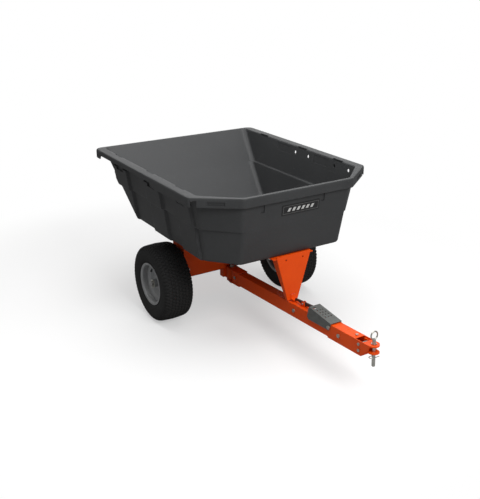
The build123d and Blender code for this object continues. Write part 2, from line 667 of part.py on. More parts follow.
def bent_yoke(lower):
    """A plate that is level round the kingpin and then follows the tongue's slope."""
    z = TONGUE_TOP
    h = 0.0
    if lower:
        z = TONGUE_TOP - TONGUE_HEIGHT
        h = -TONGUE_HEIGHT
    sign = -1 if lower else 1
    far = tongue_point(YOKE_LAP, h + sign * SEAT_GAP)
    far_out = tongue_point(YOKE_LAP, h + sign * (YOKE_SHEET + SEAT_GAP))
    bend_in = (TONGUE_START, z + sign * SEAT_GAP)
    bend_out = (TONGUE_START, z + sign * (YOKE_SHEET + SEAT_GAP))
    points = [(KINGPIN_X, bend_in[1]), bend_in, far, far_out, bend_out, (KINGPIN_X, bend_out[1])]
    plate = plate_y(points, -YOKE_HALF, YOKE_HALF)
    z0, z1 = sorted((bend_in[1], bend_out[1]))
    plate += rod_z(KINGPIN_X, 0, z0, z1, YOKE_HALF)
    return plate - rod_z(KINGPIN_X, 0, z0 - 1, z1 + 1, KINGPIN_DIAMETER / 2 + RUNNING)


def cross_hole(s, h, radius):
    return rod_y(s, h, -60, 60, radius)


def tongue_channel():
    """Open-topped channel that carries the load to the drawbar."""
    half = TONGUE_WIDTH / 2
    inner = half - TONGUE_WALL
    part = box(0, TONGUE_LENGTH, -half, half, -TONGUE_HEIGHT, 0)
    part -= box(-1, TONGUE_LENGTH + 1, -inner, inner, TONGUE_WALL - TONGUE_HEIGHT, 1)
    for s in CROSS_BOLT_S:
        part -= cross_hole(s, CROSS_BOLT_H, M10 / 2 + BOLT_GAP)
    part -= cross_hole(PEDAL_PIVOT_S, PEDAL_PIVOT_H, M10 / 2 + BOLT_GAP)
    return on_tongue(part)


def tongue_cover():
    """Flat strip let into the channel's open top."""
    inner = TONGUE_WIDTH / 2 - TONGUE_WALL - SIDE_GAP
    part = box(0, TONGUE_LENGTH, -inner, inner, -TONGUE_WALL, 0)
    return on_tongue(part)


def drawbar_channel():
    """Front channel that sleeves over the tongue, with a raked nose."""
    half = drawbar_half()
    inner = half - TONGUE_WALL
    low = -TONGUE_HEIGHT - BOLT_GAP - TONGUE_WALL
    end = DRAWBAR_START + DRAWBAR_LENGTH
    part = box(DRAWBAR_START, end, -half, half, low, 0)
    part -= box(DRAWBAR_START - 1, end + 1, -inner, inner, low + TONGUE_WALL, 1)
    nose = plate_y([(end - 60, low - 1), (end - 12, low + 46), (end - 2, 1), (end + 20, 1), (end + 20, low - 1)],
                   -half - 1, half + 1)
    part -= nose
    for s in CROSS_BOLT_S[2:]:
        part -= cross_hole(s, CROSS_BOLT_H, M10 / 2 + BOLT_GAP)
    part -= cross_hole(PEDAL_PIVOT_S, PEDAL_PIVOT_H, M10 / 2 + BOLT_GAP)
    for h in clevis_bolt_heights():
        part -= cross_hole(clevis_bolt_s(), h, M8 / 2 + BOLT_GAP)
    return on_tongue(part)


def drawbar_cover():
    """Top strip of the drawbar, which stops behind the clevis window."""
    inner = drawbar_half() - TONGUE_WALL - SIDE_GAP
    start = TONGUE_LENGTH + SIDE_GAP
    end = DRAWBAR_START + DRAWBAR_LENGTH - 98
    part = box(start, end, -inner, inner, -TONGUE_WALL, 0)
    part -= rod_z(end - 20, 0, -10, 10, M8 / 2 + BOLT_GAP)
    return on_tongue(part)


def cover_bolt():
    s = DRAWBAR_START + DRAWBAR_LENGTH - 98 - 20
    bolt = rod_z(s, 0, -18, 0.1, M8 / 2) + hex_z(s, 0, 0.1, 5.6, 13)
    nut = hex_z(s, 0, -TONGUE_WALL - 6.6, -TONGUE_WALL - SEAT_GAP, 13)
    return on_tongue(bolt + nut)


EAR_SHEET = 6.0
CLEVIS_GAP = 27.0
CLEVIS_BACK = 40.0
CLEVIS_LEG = 44.0
CLEVIS_BOLT_EDGE = 10.0


def pin_s():
    return DRAWBAR_START + DRAWBAR_LENGTH - 8.0


def clevis_bolt_s():
    return pin_s() - 64.0


def clevis_bolt_heights():
    return (-16.0, -46.0)


def ear_levels():
    """Underside of the upper ear and top of the lower ear."""
    return -EAR_SHEET, -EAR_SHEET - CLEVIS_GAP


def hitch_clevis():
    """U-shaped strap in the drawbar's nose: two ears with the hitch pin's holes."""
    upper, lower = ear_levels()
    inner = drawbar_half() - TONGUE_WALL - SIDE_GAP
    back = pin_s() - CLEVIS_BACK
    tip = pin_s()
    part = box(back, tip, -inner, inner, lower - EAR_SHEET, upper + EAR_SHEET)
    part += rod_z(tip, 0, lower - EAR_SHEET, upper + EAR_SHEET, inner)
    part -= box(back + EAR_SHEET, tip + 40, -inner - 1, inner + 1, lower, upper)
    leg_low = clevis_bolt_heights()[1] - CLEVIS_BOLT_EDGE
    for side in (-1, 1):
        y0, y1 = sorted((side * inner, side * (inner - 5)))
        part += box(back - CLEVIS_LEG, back + 1, y0, y1, leg_low, upper + EAR_SHEET - 8)
    for h in clevis_bolt_heights():
        part -= cross_hole(clevis_bolt_s(), h, M8 / 2 + BOLT_GAP)
    part -= rod_z(tip, 0, -100, 20, HITCH_PIN_DIAMETER / 2 + RUNNING)
    return on_tongue(part)


def side_bolt(s, h, half, size, head):
    """A bolt across the tongue with its nut on the left side."""
    bolt = rod_y(s, h, -half, half + 10, size / 2) + hex_y(s, h, -half - size * 0.65, -half, head)
    nut = hex_y(s, h, half + SEAT_GAP, half + size * 0.85, head)
    return on_tongue(bolt + nut)


def tongue_bolts():
    bolts = [side_bolt(s, CROSS_BOLT_H, TONGUE_WIDTH / 2, M10, 17) for s in CROSS_BOLT_S[:2]]
    bolts.append(side_bolt(CROSS_BOLT_S[2], CROSS_BOLT_H, drawbar_half(), M10, 17))
    return group(bolts)


def clevis_bolts():
    return group([side_bolt(clevis_bolt_s(), h, drawbar_half(), M8, 13) for h in clevis_bolt_heights()])


# ---- foot pedal and latch -----------------------------------------------------------------
PEDAL_SHEET = 3.0
PEDAL_REAR_S = PEDAL_PIVOT_S - 148.0
PEDAL_FRONT_S = PEDAL_PIVOT_S + 14.0
PEDAL_REAR_H = 35.0
PEDAL_FRONT_H = 7.0
PEDAL_SKIRT_H = -30.0
PEDAL_SLOPE = (PEDAL_REAR_H - PEDAL_FRONT_H) / (PEDAL_FRONT_S - PEDAL_REAR_S)
PAWL_HALF = 4.0
GRIP_HOLES_S = (45.0, 65.0, 85.0, 105.0)
GRIP_HOLES_Y = (-16.0, 0.0, 16.0)
GRIP_HOLE_RADIUS = 4.0
HANG_HOLE = (22.0, -14.0, 7.0)


def pedal_inner():
    return drawbar_half() + SIDE_GAP


def pedal_outline(drop):
    return [(PEDAL_REAR_S, PEDAL_REAR_H - drop), (PEDAL_FRONT_S, PEDAL_FRONT_H - drop),
            (PEDAL_FRONT_S - 14, PEDAL_SKIRT_H), (PEDAL_REAR_S - 2, PEDAL_SKIRT_H),
            (PEDAL_REAR_S - 14, PEDAL_SKIRT_H + 12)]


def foot_pedal():
    """Bent saddle over the tongue, raised at the rear, pierced for grip."""
    inner = pedal_inner()
    outer = inner + PEDAL_SHEET
    part = plate_y(pedal_outline(0), -outer, outer)
    part = fillet(part.edges().filter_by(Axis.Y).group_by(Axis.Z)[-1], 2)
    top = [(PEDAL_REAR_S - 40, PEDAL_REAR_H + 40 * PEDAL_SLOPE - PEDAL_SHEET),
           (PEDAL_FRONT_S + 40, PEDAL_FRONT_H - 40 * PEDAL_SLOPE - PEDAL_SHEET),
           (PEDAL_FRONT_S + 40, PEDAL_SKIRT_H - 20), (PEDAL_REAR_S - 40, PEDAL_SKIRT_H - 20)]
    part -= plate_y(top, -inner, inner)
    for s in GRIP_HOLES_S:
        for y in GRIP_HOLES_Y:
            part -= rod_z(PEDAL_REAR_S + s, y, 0, 60, GRIP_HOLE_RADIUS)
    s, y, radius = HANG_HOLE
    part -= rod_z(PEDAL_REAR_S + s, y, 0, 60, radius)
    part -= cross_hole(PEDAL_PIVOT_S, PEDAL_PIVOT_H, M10 / 2 + RUNNING)
    return on_tongue(part)


def pedal_bolt():
    """Pivot bolt of the pedal, through the drawbar and the tongue."""
    half = pedal_inner() + PEDAL_SHEET + SLIDING
    bolt = rod_y(PEDAL_PIVOT_S, PEDAL_PIVOT_H, -half, half + 10, M10 / 2)
    bolt += hex_y(PEDAL_PIVOT_S, PEDAL_PIVOT_H, -half - 6.4, -half, 17)
    return on_tongue(bolt)


def pedal_nut():
    half = pedal_inner() + PEDAL_SHEET + SLIDING
    nut = hex_y(PEDAL_PIVOT_S, PEDAL_PIVOT_H, half, half + 8.5, 17)
    return on_tongue(nut - cross_hole(PEDAL_PIVOT_S, PEDAL_PIVOT_H, M10 / 2 + RUNNING))


def pawl_bracket():
    """Small U bracket on the tongue's top that holds the pawl's pin."""
    inner = PAWL_HALF + SIDE_GAP
    part = box(PAWL_PIVOT_S - 22, PAWL_PIVOT_S + 22, -inner - 3, inner + 3, SEAT_GAP, 3.1)
    for side in (-1, 1):
        y0, y1 = sorted((side * inner, side * (inner + 3)))
        ear = box(PAWL_PIVOT_S - 12, PAWL_PIVOT_S + 12, y0, y1, SEAT_GAP, PAWL_PIVOT_H)
        ear += rod_y(PAWL_PIVOT_S, PAWL_PIVOT_H, y0, y1, 12)
        part += ear
    part -= cross_hole(PAWL_PIVOT_S, PAWL_PIVOT_H, 3 + RUNNING)
    return on_tongue(part)


def pawl_pin():
    reach = PAWL_HALF + SIDE_GAP + 3 + 2
    pin = rod_y(PAWL_PIVOT_S, PAWL_PIVOT_H, -reach, reach, 3)
    pin += rod_y(PAWL_PIVOT_S, PAWL_PIVOT_H, -reach - 2, -reach + 1.8, 5)
    return on_tongue(pin)


def latch_pawl():
    """Rocking latch: its tail lies under the pedal, its hook stands ahead of the striker."""
    hook_s = (STRUT_FACE_X + STRIKER_REACH + 1.6 - TONGUE_START) / math.cos(math.radians(TONGUE_SLOPE))
    tail_s = PEDAL_REAR_S + 12
    tail_h = PEDAL_REAR_H - PEDAL_SHEET - 12 * PEDAL_SLOPE - 1.2
    body = [(hook_s + 1.5, 21), (hook_s + 1.5, 8), (hook_s + 7, 8), (hook_s + 12, 14), (PAWL_PIVOT_S - 10, 8),
            (PAWL_PIVOT_S + 10, 8), (tail_s - 14, tail_h - 9), (tail_s, tail_h - 6), (tail_s, tail_h),
            (tail_s - 16, tail_h), (PAWL_PIVOT_S + 6, 25), (PAWL_PIVOT_S - 6, 25)]
    part = plate_y(body, -PAWL_HALF, PAWL_HALF)
    part -= cross_hole(PAWL_PIVOT_S, PAWL_PIVOT_H, 3 + RUNNING)
    return on_tongue(part)


# ---- hitch pin and its clip ---------------------------------------------------------------
CLIP_WIRE = 1.7
CLIP_DROP = 12.0


def clip_height():
    return ear_levels()[1] - EAR_SHEET - CLIP_DROP


def hitch_pin():
    """Straight pin with a collar on the upper ear and a loop handle."""
    s = pin_s()
    top = SEAT_GAP
    pin = rod_z(s, 0, top - HITCH_PIN_LENGTH + 46, top + 26, HITCH_PIN_DIAMETER / 2)
    pin = chamfer(pin.edges().filter_by(GeomType.CIRCLE).group_by(Axis.Z)[0], 2.5)
    pin += rod_z(s, 0, top, top + 5, HITCH_PIN_DIAMETER / 2 + 4)
    pin += Location((s, 0, top + 42)) * Rotation(0, 90, 90) * Torus(18, 3.2)
    pin -= cross_hole(s, clip_height(), CLIP_WIRE + SLIDING)
    return on_tongue(pin)


def hairpin_clip():
    """Spring wire clip: a straight leg through the pin, a bow, and an outer leg."""
    s, h = pin_s(), clip_height()
    bow = 10.0
    turn_y = -22.0
    circle = Plane(origin=(s, turn_y, h), z_dir=(0, 1, 0)) * Circle(CLIP_WIRE)
    bend = revolve(circle, axis=Axis((s + bow, turn_y, h), (0, 0, 1)), revolution_arc=180)
    legs = rod_y(s, h, turn_y, 20, CLIP_WIRE) + rod_y(s + 2 * bow, h, turn_y, 14, CLIP_WIRE)
    return on_tongue(legs + bend)


# ---- writing ------------------------------------------------------------------------------
def wheel_parts(name, side):
    y = side * WHEEL_Y
    return {
        name + "_tyre": tyre(y),
        name + "_rim": rim(y),
        name + "_wheel_disc": wheel_disc(y, side),
        name + "_hub": hub(y),
        name + "_hub_bushes": hub_bushes(y),
        name + "_valve": valve_stem(y, side),
    }


def all_parts():
    left_hanger = hanger()
    parts = {
        "tub_shell": tub_shell(),
        "name_plate": name_plate(),
        "tub_bolts": floor_bolts(tub_bolt_places(), SADDLE_SHEET),
        "tub_nuts": floor_nuts(tub_bolt_places(), SADDLE_SHEET),
        "axle_saddle": axle_saddle(),
        "left_hanger": left_hanger,
        "right_hanger": mirror_y(left_hanger),
        "hanger_bushes": hanger_bushes(),
        "hanger_bolts": hanger_bolts(),
        "strut": strut(),
        "strut_bolts": floor_bolts(strut_bolt_places(), STRUT_SHEET),
        "strut_nuts": floor_nuts(strut_bolt_places(), STRUT_SHEET),
        "latch_striker": latch_striker(),
        "axle_shaft": axle_shaft(),
        "swivel_block": swivel_block(),
        "axle_lock_bolt": axle_lock_bolt(),
        "kingpin": kingpin(),
        "kingpin_nut": kingpin_nut(),
        "thrust_washers": thrust_washers(),
        "axle_spacers": axle_spacers(),
        "axle_washers": axle_washers(),
        "split_pins": split_pins(),
        "yoke_top_plate": bent_yoke(False),
        "yoke_bottom_plate": bent_yoke(True),
        "tongue_channel": tongue_channel(),
        "tongue_cover": tongue_cover(),
        "drawbar_channel": drawbar_channel(),
        "drawbar_cover": drawbar_cover(),
        "cover_bolt": cover_bolt(),
        "hitch_clevis": hitch_clevis(),
        "tongue_bolts": tongue_bolts(),
        "clevis_bolts": clevis_bolts(),
        "foot_pedal": foot_pedal(),
        "pedal_pivot_bolt": pedal_bolt(),
        "pedal_pivot_nut": pedal_nut(),
        "pawl_bracket": pawl_bracket(),
        "pawl_pin": pawl_pin(),
        "latch_pawl": latch_pawl(),
        "hitch_pin": hitch_pin(),
        "hairpin_clip": hairpin_clip(),
    }
    parts.update(wheel_parts("right", -1))
    parts.update(wheel_parts("left", 1))
    return parts


def main():
    os.makedirs("parts", exist_ok=True)
    tip_x = tongue_point(pin_s() + drawbar_half() - TONGUE_WALL - SIDE_GAP, 0)[0]
    to_middle = Location((-(TUB_REAR + tip_x) / 2, 0, 0))
    for name, part in all_parts().items():
        export_step(to_middle * part, "parts/" + name + ".step")


main()
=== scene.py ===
"""Looks of a tow-behind dump cart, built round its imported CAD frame.

Laid out as an add-on: each group of pieces has its own operator, and the sizes that may be
varied are properties of the scene.
"""

import json
import math

import bmesh
import bpy
import numpy as np
from bpy.props import FloatProperty, IntProperty, PointerProperty
from bpy.types import Operator, Panel, PropertyGroup
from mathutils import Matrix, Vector

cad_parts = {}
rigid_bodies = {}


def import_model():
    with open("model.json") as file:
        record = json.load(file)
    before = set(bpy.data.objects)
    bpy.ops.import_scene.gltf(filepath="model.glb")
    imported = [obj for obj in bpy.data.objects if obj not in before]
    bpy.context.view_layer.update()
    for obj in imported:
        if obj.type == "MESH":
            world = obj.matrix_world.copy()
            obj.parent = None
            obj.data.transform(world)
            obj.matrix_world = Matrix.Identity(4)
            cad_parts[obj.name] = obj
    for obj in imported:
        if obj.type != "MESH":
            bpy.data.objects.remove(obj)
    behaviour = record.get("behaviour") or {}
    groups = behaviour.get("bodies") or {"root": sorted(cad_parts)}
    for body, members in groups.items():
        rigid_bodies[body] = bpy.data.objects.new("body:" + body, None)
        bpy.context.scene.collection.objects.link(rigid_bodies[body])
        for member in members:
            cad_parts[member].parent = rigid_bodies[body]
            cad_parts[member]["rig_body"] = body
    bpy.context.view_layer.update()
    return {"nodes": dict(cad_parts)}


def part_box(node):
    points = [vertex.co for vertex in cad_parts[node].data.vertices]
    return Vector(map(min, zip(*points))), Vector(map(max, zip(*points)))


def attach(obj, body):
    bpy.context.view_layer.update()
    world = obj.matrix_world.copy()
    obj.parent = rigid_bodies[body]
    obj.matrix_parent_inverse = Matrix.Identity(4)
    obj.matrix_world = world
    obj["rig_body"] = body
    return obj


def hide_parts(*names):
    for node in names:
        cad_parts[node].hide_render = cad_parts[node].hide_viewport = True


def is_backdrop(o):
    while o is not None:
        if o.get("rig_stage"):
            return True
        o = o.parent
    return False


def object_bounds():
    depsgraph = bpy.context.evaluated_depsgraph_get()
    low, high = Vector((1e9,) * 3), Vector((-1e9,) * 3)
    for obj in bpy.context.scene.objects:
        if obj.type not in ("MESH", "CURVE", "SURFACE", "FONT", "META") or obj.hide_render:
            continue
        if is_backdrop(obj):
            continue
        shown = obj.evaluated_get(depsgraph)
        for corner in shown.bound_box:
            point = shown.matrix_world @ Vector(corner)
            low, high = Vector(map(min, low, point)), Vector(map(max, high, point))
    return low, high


bl_info = {
    "name": "Tow-behind dump cart",
    "version": (1, 0, 0),
    "blender": (4, 5, 0),
    "location": "View3D > Sidebar > Cart",
    "description": "Builds the pieces, finishes and stage of a tow-behind dump cart",
    "category": "Object",
}

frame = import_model()
MM = 0.001


def middle(node):
    """Centre of a CAD node's box."""
    low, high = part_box(node)
    return (low + high) / 2


AXLE = middle("axle_shaft")
TUB_LOW, TUB_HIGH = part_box("tub_shell")
TUB_TOP = TUB_HIGH.z
TUB_DEPTH = TUB_HIGH.z - TUB_LOW.z
TUB_REAR = TUB_LOW.x - AXLE.x
TUB_FRONT = TUB_HIGH.x - AXLE.x
TUB_HALF = TUB_HIGH.y
TUB_BOTTOM = TUB_LOW.z


# ---- properties ---------------------------------------------------------------------------
def length(name, description, default):
    """A property of the scene that is a length in metres."""
    return FloatProperty(name=name, description=description, default=default, unit="LENGTH")


class CartTub(PropertyGroup):
    wall: length("Wall", "Thickness of the moulding", 0.005)
    edge: length("Edge radius", "Rounding of the rim's edges", 0.006)
    foot: length("Foot radius", "Rounding where walls meet the floor", 0.016)
    corner: length("Corner radius", "Rounding of the upright corners", 0.014)
    skirt: length("Skirt", "Depth of the deep skirt under the rim", 0.046)
    pilaster: length("Pilaster", "How far the side bands stand out", 0.012)


class CartTyre(PropertyGroup):
    lugs: IntProperty(name="Lugs", description="Blocks round each row of the tread", default=64)
    rows: IntProperty(name="Rows", description="Rows of blocks across the tread", default=7)
    depth: length("Tread depth", "Height of the blocks", 0.0042)


class CartSteel(PropertyGroup):
    sheet_edge: length("Sheet edge", "Softened edge of bent sheet", 0.0009)
    small_edge: length("Hardware edge", "Softened edge of bolts and pins", 0.0004)
    weld: length("Weld width", "Half width of a weld bead", 0.0026)


class CartStage(PropertyGroup):
    key: FloatProperty(name="Key", description="Power of the light in front", default=70.0)
    top: FloatProperty(name="Top", description="Power of the light overhead", default=66.0)
    back: FloatProperty(name="Back", description="Power of the broad light behind", default=38.0)


class CartSettings(PropertyGroup):
    tub: PointerProperty(type=CartTub, name="Tub", description="Sizes of the moulded tub")
    tyre: PointerProperty(type=CartTyre, name="Tyre", description="Sizes of the tread")
    steel: PointerProperty(type=CartSteel, name="Steel", description="Sizes of edges and welds")
    stage: PointerProperty(type=CartStage, name="Stage", description="Strength of the lights")


# ---- surfaces -----------------------------------------------------------------------------
def grid_faces(rows, columns, close_rows, close_columns):
    """Quads of a grid, numbered row by row; a closed direction joins its last line to its first."""
    r = np.arange(rows if close_rows else rows - 1)
    c = np.arange(columns if close_columns else columns - 1)
    r, c = np.meshgrid(r, c, indexing="ij")
    nr, nc = (r + 1) % rows, (c + 1) % columns
    quads = np.stack([r * columns + c, r * columns + nc, nr * columns + nc, nr * columns + c], axis=-1)
    return quads.reshape(-1, 4)


def mesh_object(name, points, quads, triangles=None, smooth=40.0):
    """An object at the origin from an array of points and arrays of faces, which are turned outward."""
    mesh = bpy.data.meshes.new(name)
    faces = quads.tolist() + ([] if triangles is None else triangles.tolist())
    mesh.from_pydata(points.reshape(-1, 3).tolist(), [], faces)
    mesh.validate()
    work = bmesh.new()
    work.from_mesh(mesh)
    bmesh.ops.recalc_face_normals(work, faces=work.faces)
    work.to_mesh(mesh)
    work.free()
    mesh.shade_smooth()
    mesh.set_sharp_from_angle(angle=math.radians(smooth))
    obj = bpy.data.objects.new(name, mesh)
    bpy.context.scene.collection.objects.link(obj)
    return obj


def revolve(name, profile, centre, segments=128, smooth=35.0):
    """A closed profile of (radius, distance across) turned about the axle's direction through centre."""
    profile = np.array(profile, float)
    turn = np.linspace(0, 2 * np.pi, segments, endpoint=False)[:, None]
    x = centre[0] + profile[:, 0] * np.sin(turn)
    y = np.broadcast_to(centre[1] + profile[:, 1], x.shape)
    z = centre[2] + profile[:, 0] * np.cos(turn)
    points = np.stack([x, y, z], axis=-1)
    return mesh_object(name, points, grid_faces(segments, len(profile), True, True), smooth=smooth)


def bend(start, corner, end, t):
    """Points of the curve that leaves start towards corner and arrives at end."""
    return (1 - t) ** 2 * start + 2 * t * (1 - t) * corner + t ** 2 * end


def soft_profile(points, radii, steps=5):
    """A closed profile with each corner replaced by a short curve that starts its radius away."""
    points = np.array(points, float)
    before, after = np.roll(points, 1, axis=0), np.roll(points, -1, axis=0)
    back, ahead = before - points, after - points
    long_back = np.linalg.norm(back, axis=1, keepdims=True)
    long_ahead = np.linalg.norm(ahead, axis=1, keepdims=True)
    reach = np.minimum(np.broadcast_to(radii, len(points))[:, None], 0.45 * np.minimum(long_back, long_ahead))
    start, end = points + back / long_back * reach, points + ahead / long_ahead * reach
    t = np.linspace(0, 1, steps)[None, :, None]
    return bend(start[:, None], points[:, None], end[:, None], t).reshape(-1, 2)


def smooth_line(points, count):
    """Catmull-Rom curve through points, with count samples spread evenly along its length."""
    points = np.array(points, float)
    padded = np.vstack([2 * points[0] - points[1], points, 2 * points[-1] - points[-2]])
    t = np.linspace(0, len(points) - 1 - 1e-9, count * 4)
    i = t.astype(int)
    f = (t - i)[:, None]
    a, b, c, d = padded[i], padded[i + 1], padded[i + 2], padded[i + 3]
    line = 0.5 * (2 * b + (c - a) * f + (2 * a - 5 * b + 4 * c - d) * f ** 2 + (3 * b - a - 3 * c + d) * f ** 3)
    far = np.concatenate([[0], np.cumsum(np.linalg.norm(np.diff(line, axis=0), axis=1))])
    even = np.linspace(0, far[-1], count)
    return np.stack([np.interp(even, far, line[:, k]) for k in range(line.shape[1])], axis=1)


def capped_grid(name, grid, first_point, last_point, smooth, flip=False):
    """Mesh of a grid that closes round its columns, with a fan of triangles to a point at each end."""
    rows, columns = grid.shape[:2]
    count = rows * columns
    last = count - columns
    ring = np.arange(columns)
    ahead = (ring + 1) % columns
    if flip:
        ring, ahead = ahead, ring
    fans = np.vstack([np.stack([np.full(columns, count), ahead, ring], axis=1),
                      np.stack([np.full(columns, count + 1), last + ring, last + ahead], axis=1)])
    everything = np.vstack([grid.reshape(-1, 3), first_point, last_point])
    return mesh_object(name, everything, grid_faces(rows, columns, False, True), fans, smooth)


def tube(name, path, radius, sides=16, smooth=50.0):
    """A round tube along a path: circles square to the path, closed at each end by a point.

    The path starts and ends with a repeated point, where the radius falls to nothing.
    """
    path = np.array(path, float)
    along = np.gradient(path, axis=0)
    along /= np.linalg.norm(along, axis=1, keepdims=True)
    spread = path.max(0) - path.min(0)
    steady = np.zeros(3)
    steady[int(np.argmin(spread))] = 1.0
    side = np.cross(along, steady)
    side /= np.linalg.norm(side, axis=1, keepdims=True)
    up = np.cross(side, along)
    turn = np.linspace(0, 2 * np.pi, sides, endpoint=False)[None, :, None]
    radius = np.broadcast_to(np.array(radius, float), len(path))[:, None, None]
    points = path[:, None] + radius * (np.cos(turn) * side[:, None] + np.sin(turn) * up[:, None])
    return capped_grid(name, points, path[0], path[-1], smooth, flip=True)


def rounded_ends(path, radius, steps=6):
    """Path and radii with a hemisphere added at each end."""
    path = np.array(path, float)
    a, b = path[0] - path[1], path[-1] - path[-2]
    a, b = a / np.linalg.norm(a), b / np.linalg.norm(b)
    t = np.linspace(0, np.pi / 2, steps + 1)[1:-1]
    head = path[0] + a * (radius * np.sin(t[::-1]))[:, None]
    tail = path[-1] + b * (radius * np.sin(t))[:, None]
    radii = np.concatenate([radius * np.cos(t[::-1]), np.full(len(path), radius), radius * np.cos(t)])
    return np.vstack([head, path, tail]), radii


def hexahedra(name, corners):
    """Solid blocks, each from eight corners: four of one end, then the matching four of the other."""
    corners = np.array(corners, float)
    base = np.arange(len(corners))[:, None, None] * 8
    quads = np.array([[0, 1, 2, 3], [4, 5, 6, 7], [0, 1, 5, 4], [1, 2, 6, 5], [2, 3, 7, 6], [3, 0, 4, 7]])
    return mesh_object(name, corners, (base + quads[None]).reshape(-1, 4))


def cylinder_mesh(name, start, end, radius, sides=28):
    """A plain closed cylinder between two points."""
    start, end = np.array(start, float), np.array(end, float)
    return tube(name, np.array([start, end]), radius, sides, 30.0)


def joined(objects, name):
    """One object from several, with the name given."""
    with bpy.context.temp_override(active_object=objects[0], selected_editable_objects=objects):
        bpy.ops.object.join()
    objects[0].name = name
    objects[0].data.name = name
    return objects[0]


def cut(obj, cutter):
    """Takes cutter's shape out of obj for good, and removes cutter."""
    modifier = obj.modifiers.new("cut", "BOOLEAN")
    modifier.operation = "DIFFERENCE"
    modifier.solver = "EXACT"
    modifier.object = cutter
    modifier.use_self = True
    with bpy.context.temp_override(object=obj, active_object=obj):
        bpy.ops.object.modifier_apply(modifier=modifier.name)
    bpy.data.objects.remove(cutter)
    obj.data.shade_smooth()
    obj.data.set_sharp_from_angle(angle=math.radians(34))


def finish_piece(obj, material, body, slot, *nodes):
    """Gives a piece its material and the body it moves with, and hides the CAD nodes that it stands for."""
    obj.data.materials.clear()
    obj.data.materials.append(material)
    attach(obj, body)
    if nodes:
        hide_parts(*nodes)
    return obj


def softened(node, width, material, slot, segments=2):
    """A merged copy of a CAD node with its flat faces whole and its edges slightly rounded."""
    source = frame["nodes"][node]
    mesh = source.data.copy()
    mesh.name = node + "_finished"
    if "custom_normal" in mesh.attributes:
        mesh.attributes.remove(mesh.attributes["custom_normal"])
    work = bmesh.new()
    work.from_mesh(mesh)
    bmesh.ops.remove_doubles(work, verts=work.verts, dist=2e-6)
    bmesh.ops.dissolve_limit(work, angle_limit=math.radians(0.5), verts=work.verts, edges=work.edges)
    bmesh.ops.recalc_face_normals(work, faces=work.faces)
    work.to_mesh(mesh)
    work.free()
    mesh.shade_smooth()
    mesh.set_sharp_from_angle(angle=math.radians(32))
    obj = bpy.data.objects.new(mesh.name, mesh)
    bpy.context.scene.collection.objects.link(obj)
    bevel = obj.modifiers.new("soft edges", "BEVEL")
    bevel.width = width
    bevel.segments = segments
    bevel.limit_method = "ANGLE"
    bevel.angle_limit = math.radians(34)
    bevel.harden_normals = True
    bevel.use_clamp_overlap = True
    return finish_piece(obj, material, source["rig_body"], slot, node)


# ---- materials ----------------------------------------------------------------------------
def group_tree(name, inputs, outputs):
    """A shader node group with its sockets: inputs as (type, name, default), outputs as (type, name)."""
    tree = bpy.data.node_groups.new(name, "ShaderNodeTree")
    for kind, label, value in inputs:
        socket = tree.interface.new_socket(name=label, in_out="INPUT", socket_type="NodeSocket" + kind)
        socket.default_value = value
    for kind, label in outputs:
        tree.interface.new_socket(name=label, in_out="OUTPUT", socket_type="NodeSocket" + kind)
    return tree, tree.nodes.new("NodeGroupInput"), tree.nodes.new("NodeGroupOutput")


def add(tree, kind, values=None, **settings):
    """A node with its settings and inputs: each value is a socket to link from, or a constant."""
    node = tree.nodes.new(kind)
    for key, value in settings.items():
        setattr(node, key, value)
    for key, value in (values or {}).items():
        if isinstance(value, bpy.types.NodeSocket):
            tree.links.new(value, node.inputs[key])
        else:
            node.inputs[key].default_value = value
    return node


def maths(tree, operation, *values, clamp=False):
    """The result of one sum on sockets or numbers."""
    return add(tree, "ShaderNodeMath", dict(enumerate(values)), operation=operation, use_clamp=clamp).outputs[0]


def mottle_group():
    """Two sizes of noise that tint a base colour and vary its roughness."""
    inputs = [("Color", "Base", (0.5, 0.5, 0.5, 1)), ("Color", "Tint", (0.4, 0.4, 0.4, 1)),
              ("Float", "Amount", 0.5), ("Float", "Broad Scale", 3.0), ("Float", "Fine Scale", 60.0),
              ("Float", "Roughness", 0.5), ("Float", "Roughness Spread", 0.1)]
    tree, source, sink = group_tree("mottled finish", inputs, [("Color", "Color"), ("Float", "Roughness")])
    given = source.outputs
    place = add(tree, "ShaderNodeTexCoord").outputs["Object"]
    broad, fine = (
        add(tree, "ShaderNodeTexNoise",
            {"Vector": place, "Scale": given[scale], "Detail": detail, "Roughness": rough}).outputs["Fac"]
        for scale, detail, rough in (("Broad Scale", 4.0, 0.6), ("Fine Scale", 3.0, 0.55)))
    both = maths(tree, "MULTIPLY_ADD", fine, 0.35, maths(tree, "MULTIPLY", broad, 0.65))
    spread = add(tree, "ShaderNodeMapRange", {"Value": both, "From Min": 0.36, "From Max": 0.64}).outputs["Result"]
    share = maths(tree, "MULTIPLY", spread, given["Amount"])
    mix = add(tree, "ShaderNodeMix", {"Factor": share, "A": given["Base"], "B": given["Tint"]}, data_type="RGBA")
    rough = maths(tree, "MULTIPLY_ADD", spread, given["Roughness Spread"], given["Roughness"], clamp=True)
    tree.links.new(mix.outputs["Result"], sink.inputs["Color"])
    tree.links.new(rough, sink.inputs["Roughness"])
    return tree


def grain_group():
    """Fine pebbled grain as a normal, from small smooth cells."""
    inputs = [("Float", "Scale", 900.0), ("Float", "Strength", 0.2), ("Float", "Distance", 0.0004)]
    tree, source, sink = group_tree("pebbled grain", inputs, [("Vector", "Normal")])
    given = source.outputs
    place = add(tree, "ShaderNodeTexCoord").outputs["Object"]
    cells = add(tree, "ShaderNodeTexVoronoi", {"Vector": place, "Scale": given["Scale"], "Smoothness": 0.6},
                feature="SMOOTH_F1")
    bump = add(tree, "ShaderNodeBump", {"Strength": given["Strength"], "Distance": given["Distance"],
                                        "Height": cells.outputs["Distance"]})
    tree.links.new(bump.outputs["Normal"], sink.inputs["Normal"])
    return tree


